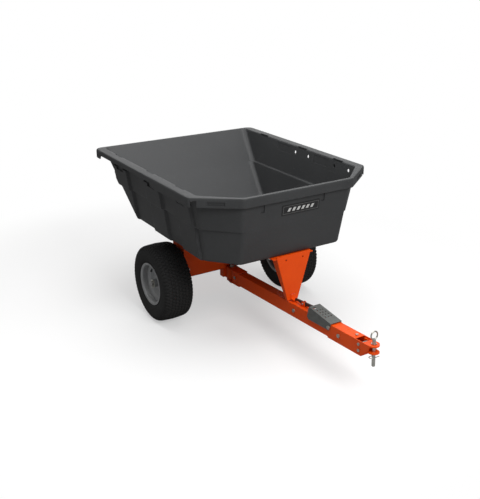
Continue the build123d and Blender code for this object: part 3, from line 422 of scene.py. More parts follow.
def dust_group():
    """Mask of dust that thins out with height above the ground and breaks up with noise."""
    inputs = [("Float", "Height", 0.3), ("Float", "Amount", 0.5), ("Float", "Scale", 30.0)]
    tree, source, sink = group_tree("low dust", inputs, [("Float", "Mask")])
    given = source.outputs
    place = add(tree, "ShaderNodeTexCoord").outputs["Object"]
    axes = add(tree, "ShaderNodeSeparateXYZ", {"Vector": place})
    low = maths(tree, "DIVIDE", axes.outputs["Z"], given["Height"])
    fade = maths(tree, "SUBTRACT", 1.0, low, clamp=True)
    noise = add(tree, "ShaderNodeTexNoise",
                {"Vector": place, "Scale": given["Scale"], "Detail": 5.0, "Roughness": 0.65})
    broken = maths(tree, "MULTIPLY", fade, noise.outputs["Fac"])
    tree.links.new(maths(tree, "MULTIPLY", broken, given["Amount"], clamp=True), sink.inputs["Mask"])
    return tree


def scratch_group():
    """Mask of thin scratches: long stretched noise, kept where it peaks."""
    inputs = [("Float", "Scale", 40.0), ("Float", "Keep", 0.68)]
    tree, source, sink = group_tree("scratches", inputs, [("Float", "Mask")])
    place = add(tree, "ShaderNodeTexCoord").outputs["Object"]
    stretch = add(tree, "ShaderNodeMapping", {"Vector": place, "Scale": (1.0, 7.0, 14.0), "Rotation": (0.3, 0.2, 0.5)})
    noise = add(tree, "ShaderNodeTexNoise", {"Vector": stretch.outputs["Vector"], "Scale": source.outputs["Scale"],
                                             "Detail": 2.0})
    keep = add(tree, "ShaderNodeMapRange", {"From Max": 0.8, "From Min": source.outputs["Keep"],
                                            "Value": noise.outputs["Fac"]})
    tree.links.new(keep.outputs["Result"], sink.inputs["Mask"])
    return tree


GROUPS = {}


def group_node(tree, name, values):
    """A node that shows one of the shared groups, with its inputs set."""
    makers = {"mottle": mottle_group, "grain": grain_group, "dust": dust_group, "scratch": scratch_group}
    if name not in GROUPS:
        GROUPS[name] = makers[name]()
    return add(tree, "ShaderNodeGroup", values, node_tree=GROUPS[name])


def srgb(red, green, blue):
    """Linear colour from three 0 to 255 display values."""
    share = np.array([red, green, blue], float) / 255
    linear = np.where(share <= 0.04045, share / 12.92, ((share + 0.055) / 1.055) ** 2.4)
    return (*linear.tolist(), 1.0)


def surface(name, base, tint, amount, broad, fine, rough, spread, metallic=0.0, grain=None, dust=None,
            scratch=None, specular=0.5, coat=0.0):
    """A procedural finish: mottled colour and roughness, with grain, dust and scratches where given.

    grain is (scale, strength, distance), dust is (height, amount, colour) and scratch is
    (scale, keep, colour).
    """
    material = bpy.data.materials.new(name)
    material.use_nodes = True
    tree = material.node_tree
    link = tree.links.new
    shader = tree.nodes["Principled BSDF"]
    shader.inputs["Metallic"].default_value = metallic
    shader.inputs["Specular IOR Level"].default_value = specular
    shader.inputs["Coat Weight"].default_value = coat
    shader.inputs["Coat Roughness"].default_value = 0.12
    mottle = group_node(tree, "mottle", {"Base": base, "Tint": tint, "Amount": amount, "Broad Scale": broad,
                                         "Fine Scale": fine, "Roughness": rough, "Roughness Spread": spread})
    colour, roughness = mottle.outputs["Color"], mottle.outputs["Roughness"]
    for kind, given, keys in (("scratch", scratch, ("Scale", "Keep")), ("dust", dust, ("Height", "Amount"))):
        if not given:
            continue
        mask = group_node(tree, kind, dict(zip(keys, given))).outputs["Mask"]
        mix = add(tree, "ShaderNodeMix", {"Factor": mask, "A": colour, "B": given[2]}, data_type="RGBA")
        colour = mix.outputs["Result"]
        if kind == "dust":
            roughness = maths(tree, "MULTIPLY_ADD", mask, 0.4, roughness, clamp=True)
    link(colour, shader.inputs["Base Color"])
    link(roughness, shader.inputs["Roughness"])
    if grain:
        pebble = group_node(tree, "grain", dict(zip(("Scale", "Strength", "Distance"), grain)))
        link(pebble.outputs["Normal"], shader.inputs["Normal"])
    return material


FINISHES = {}


def finish(name):
    """One of the cart's finishes, made when it is first asked for."""
    if name not in FINISHES:
        FINISHES[name] = FINISH_MAKERS[name]()
    return FINISHES[name]


def plastic():
    return surface("moulded plastic", srgb(52, 53, 54), srgb(61, 62, 63), 0.7, 5.0, 140.0, 0.50, 0.12,
                   grain=(1300.0, 0.25, 0.0003), scratch=(26.0, 0.66, srgb(82, 83, 84)), specular=0.42)


def orange():
    return surface("orange powder coat", srgb(238, 82, 8), srgb(226, 72, 7), 0.7, 9.0, 240.0, 0.42, 0.10,
                   grain=(1500.0, 0.12, 0.0002), dust=(0.30, 0.10, srgb(150, 110, 80)),
                   scratch=(60.0, 0.74, srgb(150, 40, 16)), specular=0.22)


def pedal_grey():
    return surface("grey pedal steel", srgb(108, 110, 108), srgb(94, 97, 94), 0.8, 30.0, 400.0, 0.42, 0.14,
                   metallic=0.35, grain=(1800.0, 0.12, 0.0002), scratch=(90.0, 0.68, srgb(150, 151, 150)))


def dark_latch():
    return surface("dark latch paint", srgb(58, 30, 24), srgb(44, 26, 22), 0.8, 30.0, 300.0, 0.4, 0.14,
                   grain=(1500.0, 0.12, 0.0002))


def zinc():
    return surface("zinc plate", srgb(196, 196, 190), srgb(168, 166, 158), 0.8, 60.0, 700.0, 0.28, 0.16,
                   metallic=1.0, grain=(2600.0, 0.08, 0.0001))


def bright_steel():
    return surface("drawn steel", srgb(168, 168, 166), srgb(132, 130, 126), 0.8, 40.0, 600.0, 0.32, 0.16,
                   metallic=1.0, grain=(2600.0, 0.08, 0.0001))


def rubber():
    return surface("tyre rubber", srgb(27, 27, 28), srgb(34, 34, 34), 0.7, 14.0, 220.0, 0.72, 0.14,
                   grain=(1600.0, 0.3, 0.0003), dust=(0.42, 0.18, srgb(80, 77, 72)), specular=0.28)


def rim_paint():
    return surface("silver rim paint", srgb(156, 157, 158), srgb(138, 139, 140), 0.7, 18.0, 400.0, 0.38, 0.14,
                   metallic=0.4, grain=(2000.0, 0.12, 0.0002), dust=(0.22, 0.25, srgb(120, 112, 100)))


def nylon():
    return surface("bush nylon", srgb(70, 70, 70), srgb(58, 58, 58), 0.6, 40.0, 300.0, 0.5, 0.1,
                   grain=(1800.0, 0.15, 0.0002))


def valve_black():
    return surface("valve rubber", srgb(34, 34, 34), srgb(42, 42, 42), 0.6, 60.0, 400.0, 0.6, 0.1,
                   grain=(2200.0, 0.2, 0.0002))


def weld_steel():
    return surface("painted weld", srgb(206, 58, 24), srgb(160, 44, 20), 0.8, 120.0, 700.0, 0.4, 0.14,
                   grain=(900.0, 0.25, 0.0004), coat=0.2)


def plate_black():
    """Satin black with a pale border and a row of slanted pale bars, drawn at set sizes in the plate's own coordinates.
    """
    material = surface("satin black plate", srgb(20, 20, 21), srgb(27, 27, 28), 0.6, 30.0, 500.0, 0.3, 0.1,
                       grain=(2200.0, 0.1, 0.0002))
    tree = material.node_tree
    shader = tree.nodes["Principled BSDF"]
    before = shader.inputs["Base Color"].links[0].from_socket
    place = add(tree, "ShaderNodeUVMap", uv_map="plate")
    axes = add(tree, "ShaderNodeSeparateXYZ", {"Vector": place.outputs["UV"]})

    def inside(value, limit):
        return maths(tree, "LESS_THAN", value, limit)

    def band(value, start):
        return maths(tree, "MULTIPLY", maths(tree, "GREATER_THAN", value, start), inside(value, start + BORDER))

    wide = maths(tree, "ABSOLUTE", axes.outputs["X"])
    tall = maths(tree, "ABSOLUTE", axes.outputs["Y"])
    lean = maths(tree, "MULTIPLY_ADD", axes.outputs["Y"], -BAR_LEAN, axes.outputs["X"])
    field = maths(tree, "MULTIPLY", inside(maths(tree, "ABSOLUTE", lean), BAR_REACH), inside(tall, BAR_HALF))
    phase = maths(tree, "FRACT", maths(tree, "DIVIDE", lean, BAR_PITCH))
    centred = maths(tree, "ABSOLUTE", maths(tree, "SUBTRACT", phase, 0.5))
    bars = maths(tree, "MULTIPLY", field, inside(centred, BAR_SHARE))
    edge_x = maths(tree, "MULTIPLY", band(wide, BORDER_X), inside(tall, BORDER_Y + BORDER))
    edge_y = maths(tree, "MULTIPLY", band(tall, BORDER_Y), inside(wide, BORDER_X + BORDER))
    border = maths(tree, "MULTIPLY", maths(tree, "MAXIMUM", edge_x, edge_y), 0.25)
    pattern = maths(tree, "MAXIMUM", bars, border)
    mix = add(tree, "ShaderNodeMix", {"Factor": pattern, "A": before, "B": srgb(196, 196, 194)}, data_type="RGBA")
    tree.links.new(mix.outputs["Result"], shader.inputs["Base Color"])
    return material


BAR_REACH = 0.078
BAR_HALF = 0.0085
BAR_LEAN = 0.5
BAR_PITCH = 0.026
BAR_SHARE = 0.27
BORDER_X = 0.0985
BORDER_Y = 0.0175
BORDER = 0.0016

FINISH_MAKERS = {"plastic": plastic, "orange": orange, "pedal": pedal_grey, "latch": dark_latch, "zinc": zinc,
                 "steel": bright_steel, "rubber": rubber, "rim": rim_paint, "nylon": nylon, "valve": valve_black,
                 "weld": weld_steel, "plate": plate_black}


# ---- tub ----------------------------------------------------------------------------------
STEP_Z = 172 * MM
STEP_INSET = 12 * MM
SHELF = 6 * MM
PILASTER_X = np.array([-331, 40, 345]) * MM
PILASTER_HALF = 85 * MM
POCKET_HALF = 40 * MM
POCKET_NECK = 4 * MM
TIE_X = np.array([-14, 102, 326, 438]) * MM
REAR_CUT = 20 * MM
REAR_CUT_DRAFT = 6 * MM
SIDE_DRAFT = 50 * MM
SIDE_SHELF = 46 * MM
REAR_SHELF = 7 * MM
REAR_SLOPE = 282 * MM
FRONT_SHELF = 15 * MM
FRONT_DRAFT = 40 * MM
CORNER_SHELF = 160 * MM
CORNER_SHARE = 0.42
RIM_CORNER = 152 * MM
FRONT_HALF = 301 * MM
FRONT_HALF_DRAFT = 12 * MM
FRONT_SIDE_SHARE = 0.5
RIM_FRONT_HALF = 305 * MM
REAR_SKIRT = 26 * MM
DEEP_FROM = 118 * MM
DEEP_FADE = 12 * MM
CORNER_SKIRT = 80 * MM
CORNER_FADE = 10 * MM
SHOULDER_DROP = 60 * MM
BAND_FADE = 4 * MM
FLOOR_RING = 35 * MM
POCKET_DEPTH = 80 * MM
POCKET_WIDTH = 10 * MM
TIE_DROP = 34 * MM
TIE_RADIUS = 9 * MM
TIE_REACH = (80 * MM, 8 * MM)
CLEAR = 4 * MM
CLEAR_INSIDE = 3 * MM


def plan(rear, front, corner, half_width, half_front, cut, z, hang=0.0):
    """One level of the tub: its eight-cornered plan, its height and whether it hangs in the skirt."""
    return np.array([rear, front, corner, half_width, half_front, cut, z, hang], float)


def tub_level(share, inset, z, drawn=0.0):
    """Plan of the walls at a share of the depth; below the step the sides are drawn in by drawn.

    The front and rear walls run straight from the rim's foot to the floor, so that they have no step.
    """
    rise = 1 - share
    ends = inset + drawn * (1 - share * TUB_DEPTH / STEP_Z)
    sides = inset + drawn
    return plan(TUB_REAR + REAR_SHELF + REAR_SLOPE * rise + ends,
                TUB_FRONT - FRONT_SHELF - FRONT_DRAFT * rise - ends,
                TUB_FRONT - CORNER_SHELF - FRONT_DRAFT * rise - CORNER_SHARE * sides,
                TUB_HALF - SIDE_SHELF - SIDE_DRAFT * rise - sides,
                FRONT_HALF - FRONT_HALF_DRAFT * rise - FRONT_SIDE_SHARE * sides,
                REAR_CUT - REAR_CUT_DRAFT * rise, z)


def rim_level(inset, z, hang=0.0):
    """Plan of the rim's outer edge, drawn in by inset."""
    return plan(TUB_REAR + inset, TUB_FRONT - inset, TUB_FRONT - RIM_CORNER - CORNER_SHARE * inset,
                TUB_HALF - inset, RIM_FRONT_HALF - FRONT_SIDE_SHARE * inset, REAR_CUT, z, hang)


def softened_levels(levels, reach, spans):
    """Rows of plans: straight spans between levels, and a short curve round each."""
    levels = np.array(levels)
    rows = [levels[:1]]
    start = levels[0]
    t = np.linspace(0, 1, 6)[:, None]
    for i in range(1, len(levels) - 1):
        back, ahead = levels[i - 1] - levels[i], levels[i + 1] - levels[i]
        length = [max(np.linalg.norm(v[[3, 6]]), abs(v[7]) * 0.02, 1e-6) for v in (back, ahead)]
        a = levels[i] + back * min(reach[i] / length[0], 0.48)
        b = levels[i] + ahead * min(reach[i] / length[1], 0.48)
        span = np.linspace(0, 1, spans[i - 1] + 1)[1:-1, None]
        rows.append(start + (a - start) * span)
        rows.append(bend(a, levels[i], b, t))
        start = b
    span = np.linspace(0, 1, spans[-1] + 1)[1:, None]
    rows.append(start + (levels[-1] - start) * span)
    return np.vstack(rows)


EDGE_COUNTS = (5, 150, 46, 92, 46, 150, 5, 50)


def rounded_plans(rows, radius):
    """Points round every plan: straight edges, and a curve of the given radius at each corner.

    The result has one line of points per row, each going round the tub the same way.
    """
    rear, front, corner, half, half_front, cut_back = (rows[:, i] for i in range(6))
    right = [(rear, cut_back - half), (rear + cut_back, -half), (corner, -half), (front, -half_front)]
    left = [(x, -y) for x, y in reversed(right)]
    corners = np.stack([np.stack(p, axis=-1) for p in right + left], axis=1)
    back = np.roll(corners, 1, axis=1) - corners
    ahead = np.roll(corners, -1, axis=1) - corners
    long_back = np.linalg.norm(back, axis=-1, keepdims=True)
    long_ahead = np.linalg.norm(ahead, axis=-1, keepdims=True)
    reach = np.minimum(radius, 0.4 * np.minimum(long_back, long_ahead))
    start = corners + back / long_back * reach
    end = corners + ahead / long_ahead * reach
    t = np.linspace(0, 1, 8)[None, :, None]
    pieces = []
    for i, count in enumerate(EDGE_COUNTS):
        pieces.append(bend(start[:, i, None], corners[:, i, None], end[:, i, None], t))
        span = np.linspace(0, 1, count + 2)[None, 1:-1, None]
        pieces.append(end[:, i, None] + (np.roll(start, -1, axis=1)[:, i, None] - end[:, i, None]) * span)
    return np.concatenate(pieces, axis=1)


def ease(value):
    """Smooth step from 0 to 1."""
    value = np.clip(value, 0, 1)
    return value * value * (3 - 2 * value)


def skirt_depth(points, settings):
    """Depth of the skirt at each point of the rim: deep round the front half and the rear corners."""
    x, y = points[..., 0], np.abs(points[..., 1])
    deep = ease((x - DEEP_FROM) / DEEP_FADE)
    rear = ease((TUB_REAR + CORNER_SKIRT - x) / CORNER_FADE)
    rear = rear * ease((y - TUB_HALF + REAR_CUT + CORNER_FADE) / CORNER_FADE)
    return REAR_SKIRT + (settings.skirt - REAR_SKIRT) * np.maximum(deep, rear)


def tub_points(settings):
    """Rows and columns of the moulding's points, from the inner floor over the rim to the outer floor."""
    wall = settings.wall
    low, step = TUB_BOTTOM, TUB_BOTTOM + STEP_Z
    share = STEP_Z / TUB_DEPTH
    inner_floor = tub_level(0, wall, low + wall, STEP_INSET)
    outer_floor = tub_level(0, 0, low, STEP_INSET)
    levels = [tub_level(0, wall + FLOOR_RING, low + wall, STEP_INSET), inner_floor,
              tub_level(share, wall, step + wall, STEP_INSET), tub_level(share, wall, step + wall),
              tub_level(1, wall, TUB_TOP), rim_level(0, TUB_TOP), rim_level(0, TUB_TOP, 1),
              rim_level(wall, TUB_TOP, 1), rim_level(wall, TUB_TOP - SHELF), tub_level(1, 0, TUB_TOP - SHELF),
              tub_level(share, 0, step), tub_level(share, 0, step, STEP_INSET), outer_floor,
              tub_level(0, FLOOR_RING, low, STEP_INSET)]
    edge = settings.edge
    reach = [0, settings.foot, 0.004, 0.004, edge, edge, 0.0022, 0.0022, 0.003, 0.004, 0.004, 0.004, settings.foot, 0]
    spans = [3, 15, 2, 26, 4, 5, 2, 5, 4, 26, 2, 15, 3]
    rows = softened_levels(levels, reach, spans)
    plan_points = rounded_plans(rows, settings.corner)
    z = np.broadcast_to(rows[:, 6, None], plan_points.shape[:2]) - rows[:, 7, None] * skirt_depth(plan_points, settings)
    points = np.concatenate([plan_points, z[..., None]], axis=-1)
    outer = np.zeros(len(rows), bool)
    outer[np.argmax(rows[:, 7]) + 14:] = True
    return points, outer


def raise_pilasters(points, outer, settings):
    """Moves the outer side walls out over each band, with drafted flanks and tops."""
    x, y, z = points[..., 0], points[..., 1], points[..., 2]
    on_side = (np.abs(y) > 0.36) & (np.abs(y) < TUB_HALF - 0.02) & outer[:, None] & (z < TUB_TOP - SHELF - 0.001)
    gap = np.abs(x[..., None] - PILASTER_X).min(-1)
    half = np.where(z > TUB_TOP - SHOULDER_DROP, POCKET_HALF + POCKET_NECK, PILASTER_HALF)
    lift = settings.pilaster * ease((half + BAND_FADE - gap) / (2 * BAND_FADE))
    front_fade = ease((TUB_FRONT - 0.190 - x) / 0.02)
    points[..., 1] += np.where(on_side, np.sign(y) * lift * front_fade, 0)
    return points


def closed_tub(points):
    """The moulding's mesh: the grid, with its two floors closed by shrinking rings and a middle point."""
    points = points + (AXLE.x, 0, 0)
    middles = [points[row].mean(0) for row in (0, -1)]
    t = np.array([0.25, 0.6])[:, None, None]
    inside = middles[0] + (points[0] - middles[0]) * t
    outside = middles[1] + (points[-1] - middles[1]) * t[::-1]
    return capped_grid("tub_moulding", np.concatenate([inside, points, outside]), *middles, 34.0)


def wall_y(z, inset=0.0):
    """Distance of the upper side wall from the middle at a height."""
    share = (z - TUB_BOTTOM) / TUB_DEPTH
    return TUB_HALF - SIDE_SHELF - SIDE_DRAFT * (1 - share) - inset


def wall_x(z, inset=0.0):
    """Front wall's place at a height."""
    share = (z - TUB_BOTTOM) / TUB_DEPTH
    return TUB_FRONT - FRONT_SHELF - FRONT_DRAFT * (1 - share) - inset


def rectangle(a0, a1, b0, b1):
    """Corners of a rectangle, in order round it."""
    return [(a0, b0), (a1, b0), (a1, b1), (a0, b1)]


def side_block(x0, x1, z0, z1, near, far, side):
    """Eight corners of a block that follows the side wall's slope between two insets."""
    return [(x, side * wall_y(z, inset), z) for inset in (near, far) for x, z in rectangle(x0, x1, z0, z1)]


def front_block(y0, y1, z0, z1, near, far):
    """Eight corners of a block that follows the front wall's slope between two insets."""
    return [(wall_x(z, inset), y, z) for inset in (near, far) for y, z in rectangle(y0, y1, z0, z1)]


NOTCH_Y = (-0.193, 0.146)
NOTCH_HALF = 9 * MM
NOTCH_FOOT = 91 * MM
NOTCH_HEAD = 50 * MM
NOTCH_DEPTH = 3.8 * MM
FRAME_X = (-0.122, 0.214)
FRAME_HALF = 61 * MM
FRAME_FOOT = 54 * MM
FRAME_HEAD = 13 * MM
FRAME_DEPTH = 1.6 * MM


def tub_cutters(settings):
    """Blocks and rods to take out of the moulding: pockets, tie holes, notches and shallow frames."""
    blocks, rods = [], []
    for side in (1, -1):
        half_inner = TUB_HALF - SIDE_SHELF - settings.wall
        for x in PILASTER_X:
            y0, y1 = side * (half_inner - 0.001), side * (half_inner + POCKET_WIDTH)
            z0, z1 = TUB_TOP - POCKET_DEPTH, TUB_TOP + 0.001
            blocks.append([(a, y, z) for y in (y0, y1) for a, z in rectangle(x - POCKET_HALF, x + POCKET_HALF, z0, z1)])
        for x in FRAME_X:
            blocks.append(side_block(x - FRAME_HALF, x + FRAME_HALF, TUB_TOP - FRAME_FOOT, TUB_TOP - FRAME_HEAD,
                                     settings.wall + CLEAR_INSIDE, settings.wall - FRAME_DEPTH, side))
        for x in TIE_X:
            z = TUB_TOP - TIE_DROP
            rods.append([(x, side * (TUB_HALF - reach), z) for reach in TIE_REACH])
    for y in NOTCH_Y:
        blocks.append(front_block(y - NOTCH_HALF, y + NOTCH_HALF, TUB_TOP - NOTCH_FOOT, TUB_TOP - NOTCH_HEAD,
                                  -CLEAR, NOTCH_DEPTH))
    return blocks, rods


def chamfer_frame(side):
    """Middle of a front chamfer of the rim and its directions along, and outward from, the face."""
    front = np.array([TUB_FRONT, side * RIM_FRONT_HALF])
    back = np.array([TUB_FRONT - RIM_CORNER, side * TUB_HALF])
    along = (back - front) / np.linalg.norm(back - front)
    out = np.array([abs(along[1]), side * abs(along[0])])
    return (front + back) / 2, along, out


def chamfer_block(side, a0, a1, z0, z1, near, far):
    """Eight corners of a block on a front chamfer: along it, up it, and between two depths."""
    mid, along, out = chamfer_frame(side)
    return [(*(mid + along * a - out * depth), z) for depth in (near, far) for a, z in rectangle(a0, a1, z0, z1)]


def shifted(blocks):
    """Points of blocks or rods, moved from the axle's place to the frame's."""
    blocks = np.array(blocks, float)
    blocks[..., 0] += AXLE.x
    return blocks


class CART_OT_tub(Operator):
    """Build the moulded tub: walls, step, rim, skirt, side bands and the openings in it"""

    bl_idname = "cart.tub"
    bl_label = "Tub"

    def execute(self, context):
        settings = context.scene.cart.tub
        points, outer = tub_points(settings)
        tub = closed_tub(raise_pilasters(points, outer, settings))
        blocks, rods = tub_cutters(settings)
        for side in (1, -1):
            for a0, a1, z0, z1, depth in CHAMFER_CUTS:
                blocks.append(chamfer_block(side, a0, a1, TUB_TOP - z0, TUB_TOP - z1, -CLEAR, depth))
        cutters = [hexahedra("tub_blocks", shifted(blocks))]
        cutters += [cylinder_mesh("tub_rod", *rod, TIE_RADIUS) for rod in shifted(rods)]
        cut(tub, joined(cutters, "tub_cutter"))
        finish_piece(tub, finish("plastic"), "tub", "tub_plastic", "tub_shell")
        frames = []
        for side in (1, -1):
            for a0, a1, z0, z1, near, far in GRIP_BLOCKS:
                frames.append(chamfer_block(side, a0, a1, TUB_TOP - z0, TUB_TOP - z1, near, far))
        grip = hexahedra("grip_frames", shifted(frames))
        finish_piece(grip, finish("plastic"), "tub", "tub_plastic")
        return {"FINISHED"}


# Cuts in a front chamfer, each (from, to, drop to its foot, drop to its head, depth): grip slot, corner notch.
CHAMFER_CUTS = ((-0.040, 0.040, 0.034, 0.018, 0.012), (0.086, 0.114, 0.060, 0.014, 0.0056))
# Blocks of a grip, each (from, to, drop to its foot, drop to its head, two depths): its border, then its back web.
GRIP_BLOCKS = ((-0.047, 0.047, 0.040, 0.036, 0.0002, 0.004), (-0.047, 0.047, 0.016, 0.012, 0.0002, 0.004),
               (-0.047, -0.043, 0.036, 0.016, 0.0002, 0.004), (0.043, 0.047, 0.036, 0.016, 0.0002, 0.004),
               (-0.046, 0.046, 0.044, 0.007, 0.0052, 0.0075))


class CART_OT_plate(Operator):
    """Build the plate on the front wall, with softened corners and a plain pattern of bars"""

    bl_idname = "cart.plate"
    bl_label = "Front plate"

    def execute(self, context):
        low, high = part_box("name_plate")
        tall, wide = high.z - low.z, high.y - low.y
        lean = (wall_x(high.z) - wall_x(low.z)) / tall
        radius, thick = 0.004, 0.0018
        turn = np.linspace(0, np.pi / 2, 7)
        quarter = np.stack([np.cos(turn), np.sin(turn)], axis=1) * radius
        hw, hh = wide / 2, tall / 2 - 0.0002
        spin = [quarter, quarter[::-1] * (-1, 1), -quarter, quarter[::-1] * (1, -1)]
        place = rectangle(hw - radius, radius - hw, hh - radius, radius - hh)
        outline = np.vstack([s + p for s, p in zip(spin, place)])
        rings = [(0.0, 0.0002), (1.0, 0.0002), (1.0, thick - 0.0005), (0.997, thick), (0.55, thick), (0.0, thick)]
        middle_y, middle_z = (low.y + high.y) / 2, (low.z + high.z) / 2
        scale = np.array([s for s, _ in rings])[:, None]
        out = np.broadcast_to(np.array([d for _, d in rings])[:, None], (len(rings), len(outline)))
        a, b = outline[:, 0] * np.maximum(scale, 0.002), outline[:, 1] * np.maximum(scale, 0.002)
        x = AXLE.x + wall_x(middle_z) + b * lean + out
        points = np.stack([x, middle_y + a, middle_z + b - out * lean], axis=-1)
        plate = capped_grid("front_plate", points, points[0].mean(0), points[-1].mean(0), 50.0, flip=True)
        layer = plate.data.uv_layers.new(name="plate")
        index = np.zeros(len(plate.data.loops), int)
        plate.data.loops.foreach_get("vertex_index", index)
        co = np.zeros(len(plate.data.vertices) * 3)
        plate.data.vertices.foreach_get("co", co)
        co = co.reshape(-1, 3)[index]
        layer.data.foreach_set("uv", np.stack([co[:, 1] - middle_y, co[:, 2] - middle_z], axis=1).ravel())
        finish_piece(plate, finish("plate"), "tub", "plate_black", "name_plate")
        return {"FINISHED"}


# ---- wheels -------------------------------------------------------------------------------
TYRE_OUTER = [(0.1045, 0.0672), (0.1085, 0.0682), (0.1130, 0.0690), (0.1165, 0.0735), (0.1260, 0.0782),
              (0.1420, 0.0815), (0.1560, 0.0822), (0.1720, 0.0810), (0.1850, 0.0775), (0.1935, 0.0715),
              (0.1985, 0.0620), (0.2005, 0.0480), (0.2020, 0.0250), (0.2030, 0.0000)]

TYRE_INNER = [(0.1045, -0.060), (0.150, -0.072), (0.188, -0.060), (0.188, 0.060), (0.150, 0.072), (0.1045, 0.060)]
TREAD_WIDTH = 128 * MM
CROWN_HALF = TREAD_WIDTH / 2
CROWN_RADIUS = 194 * MM
SHOULDER_RADIUS = 176 * MM
SIDE_WALL_FROM = 70 * MM
RING_RADII = ((167.5 * MM, 1.2 * MM), (124.5 * MM, 1.4 * MM))
RING_HEIGHT = 0.9 * MM
RING_SINK = 0.5 * MM


def tyre_points(settings):
    """Rows round the wheel and columns across the section: radius and distance across, tread cut in.

    The tread is rows of blocks, each row set half a block on from the last, with bars over the shoulders.
    """
    half = smooth_line(TYRE_OUTER, 56)
    section = np.vstack([half, (half * (1, -1))[-2::-1]])
    inner = soft_profile(TYRE_INNER, 0.02, 4)
    section = np.vstack([section, inner[2:-2]])
    columns = settings.lugs * 9
    turn = np.linspace(0, 2 * np.pi, columns, endpoint=False)[:, None]
    radius, across = section[:, 0][None], section[:, 1][None]
    phase = turn * settings.lugs / (2 * np.pi)
    row = across / TREAD_WIDTH * settings.rows
    band = np.floor(row + 0.5)
    part = np.abs(row - band)
    local = np.abs((phase + 0.5 * (np.mod(band, 2)) + 0.12 * np.sign(across) * np.abs(row - band)) % 1 - 0.5)
    block = ease((0.40 - local) / 0.09) * ease((0.43 - part) / 0.10)
    on_crown = (radius > CROWN_RADIUS) & (np.abs(across) < CROWN_HALF)
    bar = ease((0.34 - np.abs(phase % 1 - 0.5)) / 0.08)
    on_shoulder = ease((radius - SHOULDER_RADIUS) / 0.003) * (np.abs(across) >= CROWN_HALF)
    rings = sum(np.exp(-((radius - place) / width) ** 2) for place, width in RING_RADII)
    outside = np.arange(section.shape[0])[None] < 2 * len(half) - 1
    drop = np.where(on_crown & outside, (1 - block) * settings.depth, 0.0)
    drop = drop + np.where(outside, on_shoulder * (1 - bar) * settings.depth * 0.75, 0.0)
    on_side = np.abs(across) > SIDE_WALL_FROM
    side = np.sign(across) * np.where(outside & on_side, RING_HEIGHT * rings - RING_SINK, 0.0)
    r = radius - drop * np.where(on_side, 0.55, 1.0)
    a = across - np.sign(across) * drop * np.where(np.abs(across) >= CROWN_HALF, 0.8, 0.0) + side
    r, a = np.broadcast_arrays(r, a)
    return r, a, turn


class CART_OT_tyres(Operator):
    """Build both tyres with their cut tread"""

    bl_idname = "cart.tyres"
    bl_label = "Tyres"

    def execute(self, context):
        settings = context.scene.cart.tyre
        r, a, turn = tyre_points(settings)
        for side in ("right", "left"):
            centre = middle(side + "_tyre")
            points = np.stack([AXLE.x + r * np.sin(turn), centre.y + a, AXLE.z + r * np.cos(turn)], axis=-1)
            tyre = mesh_object(side + "_tyre_tread", points, grid_faces(*r.shape, True, True), smooth=42.0)
            finish_piece(tyre, finish("rubber"), side + "_wheel", "tyre", side + "_tyre")
        return {"FINISHED"}


RIM_PROFILE = [(0.1128, 0.0753), (0.1128, 0.0728), (0.1040, 0.0706), (0.1013, 0.0680), (0.1013, 0.0350),
               (0.0885, 0.0225), (0.0885, -0.0225), (0.1013, -0.0350), (0.1013, -0.0680), (0.1040, -0.0706),
               (0.1128, -0.0728), (0.1128, -0.0753), (0.1020, -0.0740), (0.0990, -0.0690), (0.0990, -0.0345),
               (0.0862, -0.0215), (0.0862, 0.0215), (0.0990, 0.0345), (0.0990, 0.0690), (0.1020, 0.0740)]
RIM_SOFT = [0.0012, 0.0012, 0.004, 0.003, 0.005, 0.006, 0.006, 0.005, 0.003, 0.004, 0.0012, 0.0012, 0.005, 0.004,
            0.005, 0.006, 0.006, 0.005, 0.004, 0.005]
DISC_PROFILE = [(0.0212, 0.0410), (0.0340, 0.0410), (0.0460, 0.0340), (0.0760, 0.0325), (0.0870, 0.0430),
                (0.0988, 0.0450), (0.0988, 0.0425), (0.0876, 0.0405), (0.0768, 0.0300), (0.0452, 0.0315),
                (0.0334, 0.0385), (0.0212, 0.0385)]
SLOT_RADIUS = 66 * MM
SLOT_HALF = 8 * MM
DISC_SOFT = [0.001, 0.006, 0.008, 0.009, 0.006, 0.001, 0.001, 0.006, 0.009, 0.008, 0.006, 0.001]


class CART_OT_wheels(Operator):
    """Build both rims and pressed discs, with the valve slot in each disc"""

    bl_idname = "cart.wheels"
    bl_label = "Rims and discs"

    def execute(self, context):
        for side, sign in (("right", -1), ("left", 1)):
            centre = (AXLE.x, middle(side + "_tyre").y, AXLE.z)
            rim = revolve(side + "_rim_rolled", soft_profile(RIM_PROFILE, RIM_SOFT), centre)
            finish_piece(rim, finish("rim"), side + "_wheel", "rim_silver", side + "_rim")
            profile = soft_profile(DISC_PROFILE, DISC_SOFT) * (1, sign)
            disc = revolve(side + "_disc_pressed", profile, centre)
            reach = np.array([AXLE.x, centre[1] + sign * 0.02, AXLE.z + SLOT_RADIUS])
            through = np.array([0, sign * 0.04, 0])
            ends = [reach + np.array([SLOT_HALF, 0, 0]) * k for k in (-1, 1)]
            rods = [cylinder_mesh("slot", end, end + through, SLOT_HALF) for end in ends]
            face = rectangle(AXLE.x - SLOT_HALF, AXLE.x + SLOT_HALF, reach[2] - SLOT_HALF, reach[2] + SLOT_HALF)
            box = [(x, y, z) for y in (reach[1] - 0.0001 * sign, reach[1] + through[1] + 0.0001 * sign)
                   for x, z in face]
            cut(disc, joined(rods + [hexahedra("slot_box", [box])], "slot_cutter"))
            finish_piece(disc, finish("rim"), side + "_wheel", "rim_silver", side + "_wheel_disc")
        return {"FINISHED"}


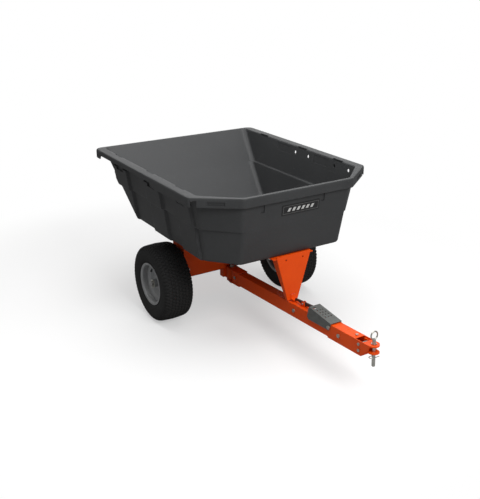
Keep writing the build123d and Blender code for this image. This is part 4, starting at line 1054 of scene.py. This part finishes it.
# ---- steel --------------------------------------------------------------------------------
SHEET_NODES = ("axle_saddle", "left_hanger", "right_hanger", "strut", "latch_striker", "swivel_block", "yoke_top_plate",
               "yoke_bottom_plate", "tongue_channel", "tongue_cover", "drawbar_channel", "drawbar_cover",
               "hitch_clevis")
ZINC_NODES = ("axle_lock_bolt", "kingpin", "kingpin_nut", "axle_washers", "split_pins", "tub_bolts", "tub_nuts",
              "hanger_bolts", "strut_bolts", "strut_nuts", "cover_bolt", "tongue_bolts", "clevis_bolts",
              "pedal_pivot_bolt", "pedal_pivot_nut", "pawl_pin", "thrust_washers", "axle_spacers")
OTHER_NODES = {"axle_shaft": ("steel", "axle_steel"), "foot_pedal": ("pedal", "pedal_steel"),
               "latch_pawl": ("latch", "latch_dark"),
               "pawl_bracket": ("orange", "frame_orange"), "hanger_bushes": ("nylon", "bush_nylon"),
               "right_hub_bushes": ("nylon", "bush_nylon"), "left_hub_bushes": ("nylon", "bush_nylon"),
               "right_hub": ("rim", "rim_silver"), "left_hub": ("rim", "rim_silver"),
               "right_valve": ("valve", "valve_rubber"), "left_valve": ("valve", "valve_rubber")}


class CART_OT_steel(Operator):
    """Carry over the steel pieces with softened edges and their finishes"""

    bl_idname = "cart.steel"
    bl_label = "Steelwork"

    def execute(self, context):
        settings = context.scene.cart.steel
        for node in SHEET_NODES:
            softened(node, settings.sheet_edge, finish("orange"), "frame_orange", 3)
        for node in ZINC_NODES:
            softened(node, settings.small_edge, finish("zinc"), "zinc")
        for node, (look, slot) in OTHER_NODES.items():
            softened(node, settings.small_edge, finish(look), slot)
        return {"FINISHED"}


def weld_bead(name, start, end, width, body):
    """A weld bead: a round tube between two points whose radius ripples along it."""
    start, end = np.array(start, float), np.array(end, float)
    length = np.linalg.norm(end - start)
    count = max(int(length / 0.0006), 12)
    t = np.linspace(0, 1, count)[:, None]
    path, radii = rounded_ends(start + (end - start) * t, width)
    ripple = 0.88 + 0.12 * np.cos(2 * np.pi * np.linspace(0, length / 0.0028, len(path)))
    bead = tube(name, path, np.maximum(radii * ripple, 1e-5), 12)
    return finish_piece(bead, finish("weld"), body, "frame_orange")


class CART_OT_welds(Operator):
    """Lay the weld beads on the yoke, the striker and the latch's bracket"""

    bl_idname = "cart.welds"
    bl_label = "Welds"

    def execute(self, context):
        width = context.scene.cart.steel.weld
        low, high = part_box("yoke_top_plate")
        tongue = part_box("tongue_channel")[1].y - 0.003
        weld_bead("yoke_weld", (high.x, -tongue, high.z - 0.0056), (high.x, tongue, high.z - 0.0056), width, "tongue")
        low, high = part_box("latch_striker")
        weld_bead("striker_weld", (low.x + 0.0004, low.y + 0.002, high.z), (low.x + 0.0004, high.y - 0.002, high.z),
                  width, "tub")
        low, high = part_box("pawl_bracket")
        weld_bead("bracket_weld", (low.x, low.y + 0.001, low.z + 0.0008), (low.x, high.y - 0.001, low.z + 0.0008),
                  width * 0.7, "tongue")
        return {"FINISHED"}


class CART_OT_hitch(Operator):
    """Carry over the hitch pin and its hairpin clip with softened edges"""

    bl_idname = "cart.hitch"
    bl_label = "Hitch pin"

    def execute(self, context):
        softened("hitch_pin", context.scene.cart.steel.small_edge, finish("zinc"), "zinc")
        softened("hairpin_clip", context.scene.cart.steel.small_edge * 0.5, finish("zinc"), "zinc")
        return {"FINISHED"}


# ---- stage --------------------------------------------------------------------------------
CAMERA_FROM_AXLE = (3.284, -1.994, 1.814)
CAMERA_YAW = math.radians(147.717)
CAMERA_PITCH = math.radians(21.559)
LENS = 54.61


def area_light(name, place, target, size, power, colour=(1, 1, 1)):
    """A square soft light that faces a point."""
    data = bpy.data.lights.new(name, "AREA")
    data.shape = "RECTANGLE"
    data.size, data.size_y = size
    data.energy = power
    data.color = colour
    light = bpy.data.objects.new(name, data)
    bpy.context.scene.collection.objects.link(light)
    light.visible_camera = False
    light.location = place
    light.rotation_euler = (Vector(target) - Vector(place)).to_track_quat("-Z", "Y").to_euler()
    light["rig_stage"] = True
    return light


def pale_floor():
    """Pale matt floor that is plain white to the camera away from the cart, and dimmer to the cart itself."""
    material = bpy.data.materials.new("pale floor")
    material.use_nodes = True
    tree = material.node_tree
    shader = tree.nodes["Principled BSDF"]
    shader.inputs["Roughness"].default_value = 0.9
    shader.inputs["Specular IOR Level"].default_value = 0.1
    to_camera = add(tree, "ShaderNodeLightPath").outputs["Is Camera Ray"]
    shade = add(tree, "ShaderNodeMix", {"Factor": to_camera, "A": (FLOOR_TO_CART, FLOOR_TO_CART, FLOOR_TO_CART, 1),
                                        "B": (0.98, 0.98, 0.98, 1)}, data_type="RGBA")
    tree.links.new(shade.outputs["Result"], shader.inputs["Base Color"])
    place = add(tree, "ShaderNodeTexCoord").outputs["Object"]
    far = add(tree, "ShaderNodeVectorMath", {0: place, 1: SHADE_CENTRE}, operation="DISTANCE")
    fade = add(tree, "ShaderNodeMapRange", {"Value": far.outputs["Value"], "From Min": SHADE_FROM,
                                            "From Max": SHADE_TO, "To Min": FLOOR_GLOW},
               interpolation_type="SMOOTHSTEP")
    seen = maths(tree, "MULTIPLY", fade.outputs["Result"], to_camera)
    white = add(tree, "ShaderNodeEmission", {"Color": (1, 1, 1, 1)})
    blend = add(tree, "ShaderNodeMixShader", {0: seen, 1: shader.outputs[0], 2: white.outputs[0]})
    tree.links.new(blend.outputs[0], tree.nodes["Material Output"].inputs["Surface"])
    return material


def studio_world(scene):
    """White behind the cart as the camera sees it, and a dim even fill for everything else."""
    world = bpy.data.worlds.new("studio")
    scene.world = world
    world.use_nodes = True
    tree = world.node_tree
    to_camera = add(tree, "ShaderNodeLightPath").outputs["Is Camera Ray"]
    mix = add(tree, "ShaderNodeMix", {"Factor": to_camera, "A": (WORLD_FILL, WORLD_FILL, WORLD_FILL, 1),
                                      "B": (1.0, 1.0, 1.0, 1)}, data_type="RGBA")
    tree.links.new(mix.outputs["Result"], tree.nodes["Background"].inputs["Color"])


FLOOR_TO_CART = 0.35
FLOOR_GLOW = 0.42
FLOOR_REACH = 30.0
SHADE_CENTRE = (-0.5, -0.1, 0.0)
SHADE_FROM = 1.1
SHADE_TO = 2.0
WORLD_FILL = 0.32
LIGHTS = (("key", (3.0, -0.15, 2.3), (1.4, 1.4)), ("top", (0.0, 0.0, 2.4), (2.6, 2.6)),
          ("back", (-3.6, 2.3, 1.35), (4.4, 2.2)))


class CART_OT_stage(Operator):
    """Set out the pale floor, the lights and the camera"""

    bl_idname = "cart.stage"
    bl_label = "Stage"

    def execute(self, context):
        settings = context.scene.cart.stage
        scene = context.scene
        low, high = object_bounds()
        centre = (low + high) / 2
        corners = np.array([(x, y, 0) for x, y in rectangle(-FLOOR_REACH, FLOOR_REACH, -FLOOR_REACH, FLOOR_REACH)])
        floor = mesh_object("floor", corners, np.array([[0, 1, 2, 3]]))
        floor.data.materials.append(pale_floor())
        floor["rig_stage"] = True
        studio_world(scene)
        for name, place, size in LIGHTS:
            area_light(name, centre + Vector(place), centre, size, getattr(settings, name))
        data = bpy.data.cameras.new("camera")
        data.sensor_width = 36.0
        data.sensor_fit = "AUTO"
        data.lens = LENS
        camera = bpy.data.objects.new("camera", data)
        scene.collection.objects.link(camera)
        camera.location = Vector((AXLE.x + CAMERA_FROM_AXLE[0], CAMERA_FROM_AXLE[1], CAMERA_FROM_AXLE[2]))
        look = Vector((math.cos(CAMERA_PITCH) * math.cos(CAMERA_YAW), math.cos(CAMERA_PITCH) * math.sin(CAMERA_YAW),
                       -math.sin(CAMERA_PITCH)))
        camera.rotation_euler = look.to_track_quat("-Z", "Y").to_euler()
        scene.camera = camera
        scene.view_settings.view_transform = "Standard"
        return {"FINISHED"}


# ---- add-on -------------------------------------------------------------------------------
OPERATORS = (CART_OT_tub, CART_OT_plate, CART_OT_tyres, CART_OT_wheels, CART_OT_steel, CART_OT_welds,
             CART_OT_hitch, CART_OT_stage)


class CART_PT_panel(Panel):
    """The cart's groups of pieces, one button each"""

    bl_idname = "CART_PT_panel"
    bl_label = "Dump cart"
    bl_space_type = "VIEW_3D"
    bl_region_type = "UI"
    bl_category = "Cart"

    def draw(self, context):
        settings = context.scene.cart
        for group in (settings.tub, settings.tyre, settings.steel, settings.stage):
            for key in group.__annotations__:
                self.layout.prop(group, key)
        for operator in OPERATORS:
            self.layout.operator(operator.bl_idname)


CLASSES = (CartTub, CartTyre, CartSteel, CartStage, CartSettings, *OPERATORS, CART_PT_panel)


def register():
    for item in CLASSES:
        bpy.utils.register_class(item)
    bpy.types.Scene.cart = PointerProperty(type=CartSettings, name="Cart", description="Settings of the cart")


def unregister():
    del bpy.types.Scene.cart
    for item in reversed(CLASSES):
        bpy.utils.unregister_class(item)


def main():
    register()
    for operator in OPERATORS:
        group, name = operator.bl_idname.split(".")
        getattr(getattr(bpy.ops, group), name)()


if __name__ == "__main__":
    main()
